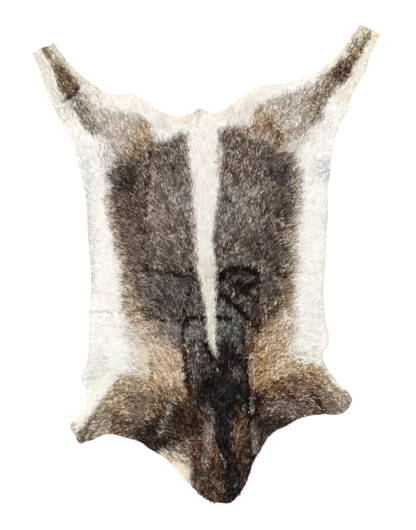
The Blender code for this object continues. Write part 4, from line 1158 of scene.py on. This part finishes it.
def grow_locks(hide, tufts, source, layer):
    """Locks of hair, as a table of arrays with one row for each lock."""
    roots = lock_roots(hide, source, LOCKS_IN_A_PIECE)
    number = len(roots)
    reach, row, column, centre = lock_reach(tufts, roots, source, layer)
    overhang = OVERHANG + OVERHANG_FUZZ * source.random(number) ** 2
    room = room_before_rim(hide, roots, reach, overhang)
    room = np.minimum(room, room_before_crease(hide, roots, reach))
    length = np.linalg.norm(reach, axis=1)
    way = reach / length[:, None]
    length = length * room
    tip_depth = hide.depth.at(roots + way * length[:, None])
    showing = source.uniform(*SHOWING, number)
    read_from = READ_AT_TUFT * centre + (1 - READ_AT_TUFT) * roots
    scatter = SCATTER_BY_TUFT * tufts.scatter[row, column]
    scatter = scatter + SCATTER_BY_LOCK * source.normal(0, 1, number)
    colours = CoatColours(read_from + way * (length * showing)[:, None], scatter)
    shade = MIDDLE_SHADE + layer.tufted * tufts.shade[row, column]
    shade += layer.scatter * source.normal(0, 1, number)
    shade += mottled(roots, *SHADE_DRIFT)
    shade = np.clip(shade, DARKEST_SHADE, LIGHTEST_SHADE)
    return {
        "root": roots,
        "way": way,
        "length": length,
        "rise": layer.rise * (1 - layer.tufted * (1 - tufts.rise[row, column])),
        "colour": shaded_colour(colours.dark, colours.light, shade),
        "dark": colours.dark,
        "light": colours.light,
        "ticking": colours.ticking,
        "overhang": overhang,
        # Painted shade for hair that ends near the rim
        "rim": RIM_SHADE * soft_step(1 - tip_depth / RIM_SHADE_REACH),
    }


def in_reading_order(roots):
    """Order that keeps neighbouring locks together, in bands across the hide."""
    band = (roots[:, 1] / READING_BAND).astype(int)
    run = np.where(band % 2 == 0, roots[:, 0], -roots[:, 0])
    return np.lexsort((run, band))


def hair_lines(hide, lock, source, layer):
    """Every hair seen from above: root, bend, tip, half its width as a step, width and length."""
    way = lock["way"]
    number = len(way)
    length = lock["length"] * source.uniform(*HAIR_LENGTH, number)
    strayed = lock["root"] + sideways(way) * source.normal(0, layer.spread * MM, number)[:, None]
    strayed = strayed + way * source.normal(0, SPREAD_ALONG * layer.spread * MM, number)[:, None]
    first = np.arctan2(way[:, 1], way[:, 0]) + source.normal(0, ROOT_TURN, number)
    second = first + source.normal(0, BEND_TURN, number)
    width = layer.width * MM * source.uniform(*HAIR_WIDTH, number)
    width = np.minimum(width, WIDEST_FOR_LENGTH * length)
    bend = strayed + headings(first) * (length * HAIR_BEND)[:, None]
    tip = bend + headings(second) * (length * (1 - HAIR_BEND))[:, None]
    root = np.where(hide.depth.at(strayed)[:, None] > 0, strayed, lock["root"])
    room = room_before_rim(hide, root, tip - root, lock["overhang"])
    bend = root + (bend - root) * room[:, None]
    tip = root + (tip - root) * room[:, None]
    across = sideways(headings(first)) * (width / 2)[:, None]
    return root, bend, tip, across, width, length * room


def hair_points(hide, locks, source, layer):
    """Root, both sides of the bend and tip of every hair, in metres."""
    lock = {key: np.repeat(values, HAIRS_IN_A_LOCK, axis=0) for key, values in locks.items()}
    root, bend, tip, across, width, length = hair_lines(hide, lock, source, layer)
    number = len(root)
    ground = SKIN_THICKNESS + fold_lift(root)
    height = lock["rise"] * source.uniform(*HAIR_RISE, number)
    steep = np.clip(length / FULL_RISE_LENGTH, LEAST_RISE, 1.0)
    bend_height = ground + (hide.top.at(bend) - ground) * height * steep * BEND_RISE
    tip_height = ground + (hide.top.at(tip) - ground) * height * steep
    lean = source.normal(0, HAIR_LEAN, number) * width
    corners = np.empty((number, HAIR_CORNERS, 3))
    corners[:, 0, :2] = root
    corners[:, 0, 2] = ground - ROOT_SINK
    corners[:, 1, :2] = bend - across
    corners[:, 1, 2] = bend_height - lean
    corners[:, 2, :2] = bend + across
    corners[:, 2, 2] = bend_height + lean
    corners[:, 3, :2] = tip
    corners[:, 3, 2] = np.maximum(tip_height, LOWEST_TIP)
    return corners


def map_corners(count):
    """Places on the bake's map: one square for each lock, shared by its like hairs."""
    lines = math.ceil(math.sqrt(count))
    number = np.arange(count)
    low = np.column_stack((number % lines, number // lines)) / lines
    corners = low[:, None, :] + np.array(MAP_CORNERS)[None, :, :] / lines
    return np.repeat(corners, HAIRS_IN_A_LOCK, axis=0)


def placed(name, data):
    """An object with the given data, put into the scene."""
    made = bpy.data.objects.new(name, data)
    bpy.context.scene.collection.objects.link(made)
    return made


def fill_mesh(name, points, faces):
    mesh = bpy.data.meshes.new(name)
    mesh.vertices.add(len(points))
    mesh.vertices.foreach_set("co", points.astype(np.float32).ravel())
    mesh.loops.add(faces.size)
    mesh.loops.foreach_set("vertex_index", faces.astype(np.int32).ravel())
    mesh.polygons.add(len(faces))
    mesh.polygons.foreach_set("loop_start", np.arange(0, faces.size, 3, dtype=np.int32))
    mesh.update(calc_edges=True)
    return mesh


def add_colour(mesh, name, values):
    layer = mesh.attributes.new(name, "FLOAT_COLOR", "POINT")
    full = np.ones((len(values), 4), np.float32)
    full[:, :3] = values
    layer.data.foreach_set("color", full.ravel())


def add_value(mesh, name, values):
    layer = mesh.attributes.new(name, "FLOAT", "POINT")
    layer.data.foreach_set("value", values.astype(np.float32).ravel())


def hair_piece(name, hide, tufts, seed, layer, material):
    source = np.random.default_rng(seed)
    locks = grow_locks(hide, tufts, source, layer)
    order = in_reading_order(locks["root"])
    locks = {key: values[order] for key, values in locks.items()}
    corners = hair_points(hide, locks, source, layer)
    number = len(corners)
    first_corners = HAIR_CORNERS * np.arange(number)
    faces = (np.array(HAIR_FACES)[None, :, :] + first_corners[:, None, None]).reshape(-1, 3)
    mesh = fill_mesh(name, corners.reshape(-1, 3), faces)
    each = HAIRS_IN_A_LOCK * HAIR_CORNERS
    for key in ("colour", "dark", "light"):
        add_colour(mesh, "coat_" + key, np.repeat(locks[key], each, axis=0))
    add_value(mesh, "ticking", np.repeat(locks["ticking"], each))
    add_value(mesh, "rim", np.repeat(locks["rim"], each))
    add_value(mesh, "along", np.tile((0.0, HAIR_BEND, HAIR_BEND, 1.0), number))
    places = map_corners(len(locks["root"])).reshape(-1, 2)
    bake_map = mesh.uv_layers.new(name="OFBake")
    bake_map.uv.foreach_set("vector", places[faces.ravel()].astype(np.float32).ravel())
    mesh.materials.append(material)
    return placed(name, mesh)


# Skin

def skin_points(hide):
    """The skin's outline, then points of a triangular grid inside it."""
    row_step = SKIN_STEP * math.sqrt(3) / 2
    inner = []
    for row, y in enumerate(np.arange(hide.low[1], hide.high[1], row_step)):
        start = hide.low[0] + (row % 2) * SKIN_STEP / 2
        across = np.arange(start, hide.high[0], SKIN_STEP)
        inner.append(np.column_stack((across, np.full(len(across), y))))
    inner = np.concatenate(inner)
    inner = inner[hide.depth.at(inner) > RIM_CLEAR]
    return np.concatenate((hide.outline, inner))


def skin_piece(hide, materials):
    """A sheet of skin whose edge, hair side and flesh side have their own finish."""
    flat = skin_points(hide)
    border = [list(range(len(hide.outline)))]
    made = delaunay_2d_cdt([Vector(place) for place in flat], [], border, 1, WELD)
    places = np.array([tuple(place) for place in made[0]])
    faces = np.array([list(face) for face in made[2]])
    waves = SKIN_WAVE * (1 + mottle(places, SKIN_WAVE_SIZE, SKIN_WAVE_SEED))
    settled = np.clip(signed_depth(places, hide.outline) / SKIN_SETTLING, 0, 1)
    heights = SKIN_THICKNESS + (fold_lift(places) + waves) * settled
    mesh = fill_mesh("skin", np.column_stack((places, heights)), faces)
    colours = CoatColours(places, np.zeros(len(places)))
    add_colour(mesh, "coat_dark", colours.dark)
    add_colour(mesh, "coat_light", colours.light)
    for material in materials:
        mesh.materials.append(material)
    skin = placed("skin", mesh)
    body = skin.modifiers.new("thickness", "SOLIDIFY")
    body.thickness = SKIN_THICKNESS
    body.offset = -1
    body.material_offset = 1
    body.material_offset_rim = 2
    apply_modifiers(skin)
    return skin


def apply_modifiers(piece):
    graph = bpy.context.evaluated_depsgraph_get()
    made = bpy.data.meshes.new_from_object(piece.evaluated_get(graph))
    piece.modifiers.clear()
    piece.data = made


# Finishes

def new_group(name, inputs, outputs):
    """An empty shader node group with named inputs and outputs."""
    group = bpy.data.node_groups.new(name, "ShaderNodeTree")
    for label, kind, value in inputs:
        socket = group.interface.new_socket(label, in_out="INPUT", socket_type="NodeSocket" + kind)
        socket.default_value = value
    for label, kind in outputs:
        group.interface.new_socket(label, in_out="OUTPUT", socket_type="NodeSocket" + kind)
    return group, group.nodes.new("NodeGroupInput"), group.nodes.new("NodeGroupOutput")


def maths(tree, operation, first, second=0.0, third=0.0):
    """A Math node. Each value is a number or a socket to link."""
    node = tree.nodes.new("ShaderNodeMath")
    node.operation = operation
    for socket, value in zip(node.inputs, (first, second, third)):
        if isinstance(value, (int, float)):
            socket.default_value = value
        else:
            tree.links.new(value, socket)
    return node.outputs[0]


def blend(tree, factor, first, second, kind="MIX"):
    """A colour mix. The factor is a number or a socket, the colours are sockets or colours."""
    node = tree.nodes.new("ShaderNodeMix")
    node.data_type = "RGBA"
    node.blend_type = kind
    sockets = (node.inputs["Factor"], node.inputs[6], node.inputs[7])
    for socket, value in zip(sockets, (factor, first, second)):
        if hasattr(value, "is_linked"):
            tree.links.new(value, socket)
        else:
            socket.default_value = value
    return node.outputs[2]


def ramp(tree, value, low, high):
    """0 below low and 1 above high, smoothly between them."""
    node = tree.nodes.new("ShaderNodeMapRange")
    node.interpolation_type = "SMOOTHSTEP"
    tree.links.new(value, node.inputs["Value"])
    node.inputs["From Min"].default_value = low
    node.inputs["From Max"].default_value = high
    return node.outputs["Result"]


def noise(tree, scale, detail=2.0):
    place = tree.nodes.new("ShaderNodeTexCoord")
    node = tree.nodes.new("ShaderNodeTexNoise")
    node.inputs["Scale"].default_value = scale
    node.inputs["Detail"].default_value = detail
    tree.links.new(place.outputs["Object"], node.inputs["Vector"])
    return node.outputs["Fac"]


def hair_tint_group():
    """Colour along one hair: a darker root, partly the hair's own dark base and partly painted shade
    between the hairs, least in pale hair, a pale band, a darker tip, and painted shade on tips at the rim.
    """
    group, given, made = new_group(
        "hair tint",
        (
            ("Colour", "Color", (0.3, 0.3, 0.3, 1)),
            ("Dark", "Color", (0.1, 0.1, 0.1, 1)),
            ("Light", "Color", (0.6, 0.6, 0.6, 1)),
            ("Ticking", "Float", 0.5),
            ("Along", "Float", 0.5),
            ("Root depth", "Float", 0.4),
            ("Rim", "Float", 0.0),
        ),
        (("Colour", "Color"),),
    )
    given = given.outputs
    ticked = maths(group, "MULTIPLY", given["Ticking"], TICKING_STRENGTH)
    rising = ramp(group, given["Along"], *BAND_STRETCH)
    falling = ramp(group, given["Along"], *TIP_STRETCH)
    band = maths(group, "MULTIPLY", rising, maths(group, "SUBTRACT", 1.0, falling))
    banded = blend(group, maths(group, "MULTIPLY", band, ticked), given["Colour"], given["Light"])
    tipped = blend(group, maths(group, "MULTIPLY", falling, ticked), banded, given["Dark"])
    # Painted shade at the root, together with the hair's own dark base, eased in pale hair.
    root = maths(group, "SUBTRACT", 1.0, ramp(group, given["Along"], *ROOT_STRETCH))
    shaded = blend(group, 1.0, given["Dark"], ROOT_TINT, "MULTIPLY")
    lightness = group.nodes.new("ShaderNodeRGBToBW")
    group.links.new(given["Dark"], lightness.inputs["Color"])
    held_back = maths(group, "MULTIPLY_ADD", lightness.outputs["Val"], -PALE_ROOT_EASING, 1.0)
    root = maths(group, "MULTIPLY", root, maths(group, "MULTIPLY", held_back, given["Root depth"]))
    whole = blend(group, root, tipped, shaded)
    # Painted shade on hair tips near the rim.
    outermost = maths(group, "MULTIPLY", ramp(group, given["Along"], *RIM_STRETCH), given["Rim"])
    group.links.new(blend(group, outermost, whole, (0, 0, 0, 1)), made.inputs["Colour"])
    return group


def strand_relief_group():
    """Fine roughness and height that break up the shine along the hairs."""
    group, given, made = new_group(
        "strand relief",
        (("Base", "Float", 0.5), ("Spread", "Float", 0.1)),
        (("Roughness", "Float"), ("Height", "Float")),
    )
    given = given.outputs
    grain = noise(group, STRAND_GRAIN)
    centred = maths(group, "SUBTRACT", grain, 0.5)
    varied = maths(group, "MULTIPLY_ADD", centred, given["Spread"], given["Base"])
    group.links.new(varied, made.inputs["Roughness"])
    group.links.new(grain, made.inputs["Height"])
    return group


def leather_group():
    """Grain height, blotches and roughness of tanned skin."""
    group, given, made = new_group(
        "leather grain",
        (("Base", "Float", 0.8), ("Blotches", "Float", 0.3)),
        (("Height", "Float"), ("Blotch", "Float"), ("Roughness", "Float")),
    )
    given = given.outputs
    fine = noise(group, FINE_GRAIN, detail=4.0)
    broad = noise(group, BROAD_GRAIN, detail=3.0)
    broad_part = maths(group, "MULTIPLY", broad, BROAD_SHARE)
    both = maths(group, "MULTIPLY_ADD", fine, FINE_SHARE, broad_part)
    group.links.new(both, made.inputs["Height"])
    group.links.new(maths(group, "MULTIPLY", broad, given["Blotches"]), made.inputs["Blotch"])
    rough = maths(group, "MULTIPLY_ADD", fine, GRAIN_ROUGHNESS, given["Base"])
    group.links.new(rough, made.inputs["Roughness"])
    return group


def new_material(name, specular, roughness):
    material = bpy.data.materials.new(name)
    material.use_nodes = True
    shader = material.node_tree.nodes["Principled BSDF"]
    shader.inputs["Specular IOR Level"].default_value = specular
    shader.inputs["Roughness"].default_value = roughness
    return material, material.node_tree, shader


def use_group(tree, group, values=None, links=None):
    node = tree.nodes.new("ShaderNodeGroup")
    node.node_tree = group
    for name, value in (values or {}).items():
        node.inputs[name].default_value = value
    for name, socket in (links or {}).items():
        tree.links.new(socket, node.inputs[name])
    return node.outputs


def attribute(tree, name, output):
    node = tree.nodes.new("ShaderNodeAttribute")
    node.attribute_name = name
    return node.outputs[output]


def bump(tree, shader, height, strength, distance):
    node = tree.nodes.new("ShaderNodeBump")
    node.inputs["Strength"].default_value = strength
    node.inputs["Distance"].default_value = distance
    tree.links.new(height, node.inputs["Height"])
    tree.links.new(node.outputs["Normal"], shader.inputs["Normal"])


def hair_material(name, groups, finish):
    material, tree, shader = new_material(name, specular=0.06, roughness=finish.roughness)
    tint = use_group(
        tree,
        groups["tint"],
        {"Root depth": finish.root_depth},
        {
            "Colour": attribute(tree, "coat_colour", "Color"),
            "Dark": attribute(tree, "coat_dark", "Color"),
            "Light": attribute(tree, "coat_light", "Color"),
            "Ticking": attribute(tree, "ticking", "Fac"),
            "Along": attribute(tree, "along", "Fac"),
            "Rim": attribute(tree, "rim", "Fac"),
        },
    )
    relief = use_group(tree, groups["relief"], {"Base": finish.roughness, "Spread": 0.2})
    tree.links.new(tint["Colour"], shader.inputs["Base Color"])
    tree.links.new(relief["Roughness"], shader.inputs["Roughness"])
    bump(tree, shader, relief["Height"], strength=0.15, distance=0.1 * MM)
    return material


def skin_top_material(groups):
    """Hair side of the skin, which takes the colour of the hair rooted in it."""
    material, tree, shader = new_material("skin under the coat", specular=0.08, roughness=0.8)
    leather = use_group(tree, groups["leather"], {"Base": 0.7, "Blotches": 0.9})
    dark = attribute(tree, "coat_dark", "Color")
    light = attribute(tree, "coat_light", "Color")
    colour = blend(tree, leather["Blotch"], dark, light)
    tree.links.new(colour, shader.inputs["Base Color"])
    tree.links.new(leather["Roughness"], shader.inputs["Roughness"])
    bump(tree, shader, leather["Height"], strength=0.4, distance=0.3 * MM)
    return material


def leather_material(groups, leather):
    """Bare tanned leather, with the coat's dark marks showing faintly through it."""
    material, tree, shader = new_material(leather.name, specular=0.25, roughness=0.85)
    grain = use_group(tree, groups["leather"], {"Base": 0.78, "Blotches": 1.2})
    bare = blend(tree, grain["Blotch"], leather.pale, leather.stained)
    marked = blend(tree, leather.ghost, bare, attribute(tree, "coat_dark", "Color"))
    tree.links.new(marked, shader.inputs["Base Color"])
    tree.links.new(grain["Roughness"], shader.inputs["Roughness"])
    bump(tree, shader, grain["Height"], leather.strength, distance=0.4 * MM)
    return material


# Floor, camera and light

def add_camera():
    data = bpy.data.cameras.new("camera")
    data.lens = LENS
    data.sensor_width = SENSOR
    camera = placed("camera", data)
    camera.location = (*CAMERA_PLACE, PICTURE_SPAN * LENS / SENSOR)
    bpy.context.scene.camera = camera


def add_floor():
    turns = ((-1, -1), (1, -1), (1, 1), (-1, 1))
    half = FLOOR_SIDE / 2
    corners = np.array([(half * x, half * y, -FLOOR_DROP) for x, y in turns])
    mesh = fill_mesh("floor", corners, np.array(((0, 1, 2), (0, 2, 3))))
    material, _, shader = new_material("pale floor", specular=0.2, roughness=0.9)
    shader.inputs["Base Color"].default_value = FLOOR_COLOUR
    mesh.materials.append(material)
    floor = placed("floor", mesh)


def add_light():
    world = bpy.data.worlds.new("pale room")
    world.use_nodes = True
    sky = world.node_tree.nodes["Background"]
    sky.inputs["Color"].default_value = SKY_COLOUR
    sky.inputs["Strength"].default_value = SKY_STRENGTH
    bpy.context.scene.world = world
    data = bpy.data.lights.new("soft lamp", "AREA")
    data.size = LAMP_SIDE
    data.energy = LAMP_POWER
    lamp = placed("soft lamp", data)
    lamp.location = LAMP_PLACE
    lamp.rotation_euler = (-Vector(LAMP_PLACE)).to_track_quat("-Z", "Y").to_euler()


def make_coat(hide, groups):
    """The pieces of every layer, each with its own hairs but sharing the tufts."""
    tufts = Tufts(hide, HAIR_SEED)
    materials = {name: hair_material(name, groups, finish) for name, finish in FINISHES.items()}
    pieces = []
    for layer in LAYERS:
        for number in range(1, layer.pieces + 1):
            seed = HAIR_SEED + len(pieces) + 1
            name = f"{layer.name}_{number}"
            pieces.append(hair_piece(name, hide, tufts, seed, layer, materials[layer.finish]))
    return pieces


def main():
    bpy.context.scene.view_settings.view_transform = "Standard"
    add_camera()
    add_floor()
    add_light()
    groups = {
        "tint": hair_tint_group(),
        "relief": strand_relief_group(),
        "leather": leather_group(),
    }
    hide = Hide(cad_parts["hide"])
    materials = [skin_top_material(groups)]
    materials += [leather_material(groups, leather) for leather in LEATHERS]
    skin = skin_piece(hide, materials)
    coat = make_coat(hide, groups)
    for piece in (skin, *coat):
        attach(piece, "root")
    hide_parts("hide")


main()
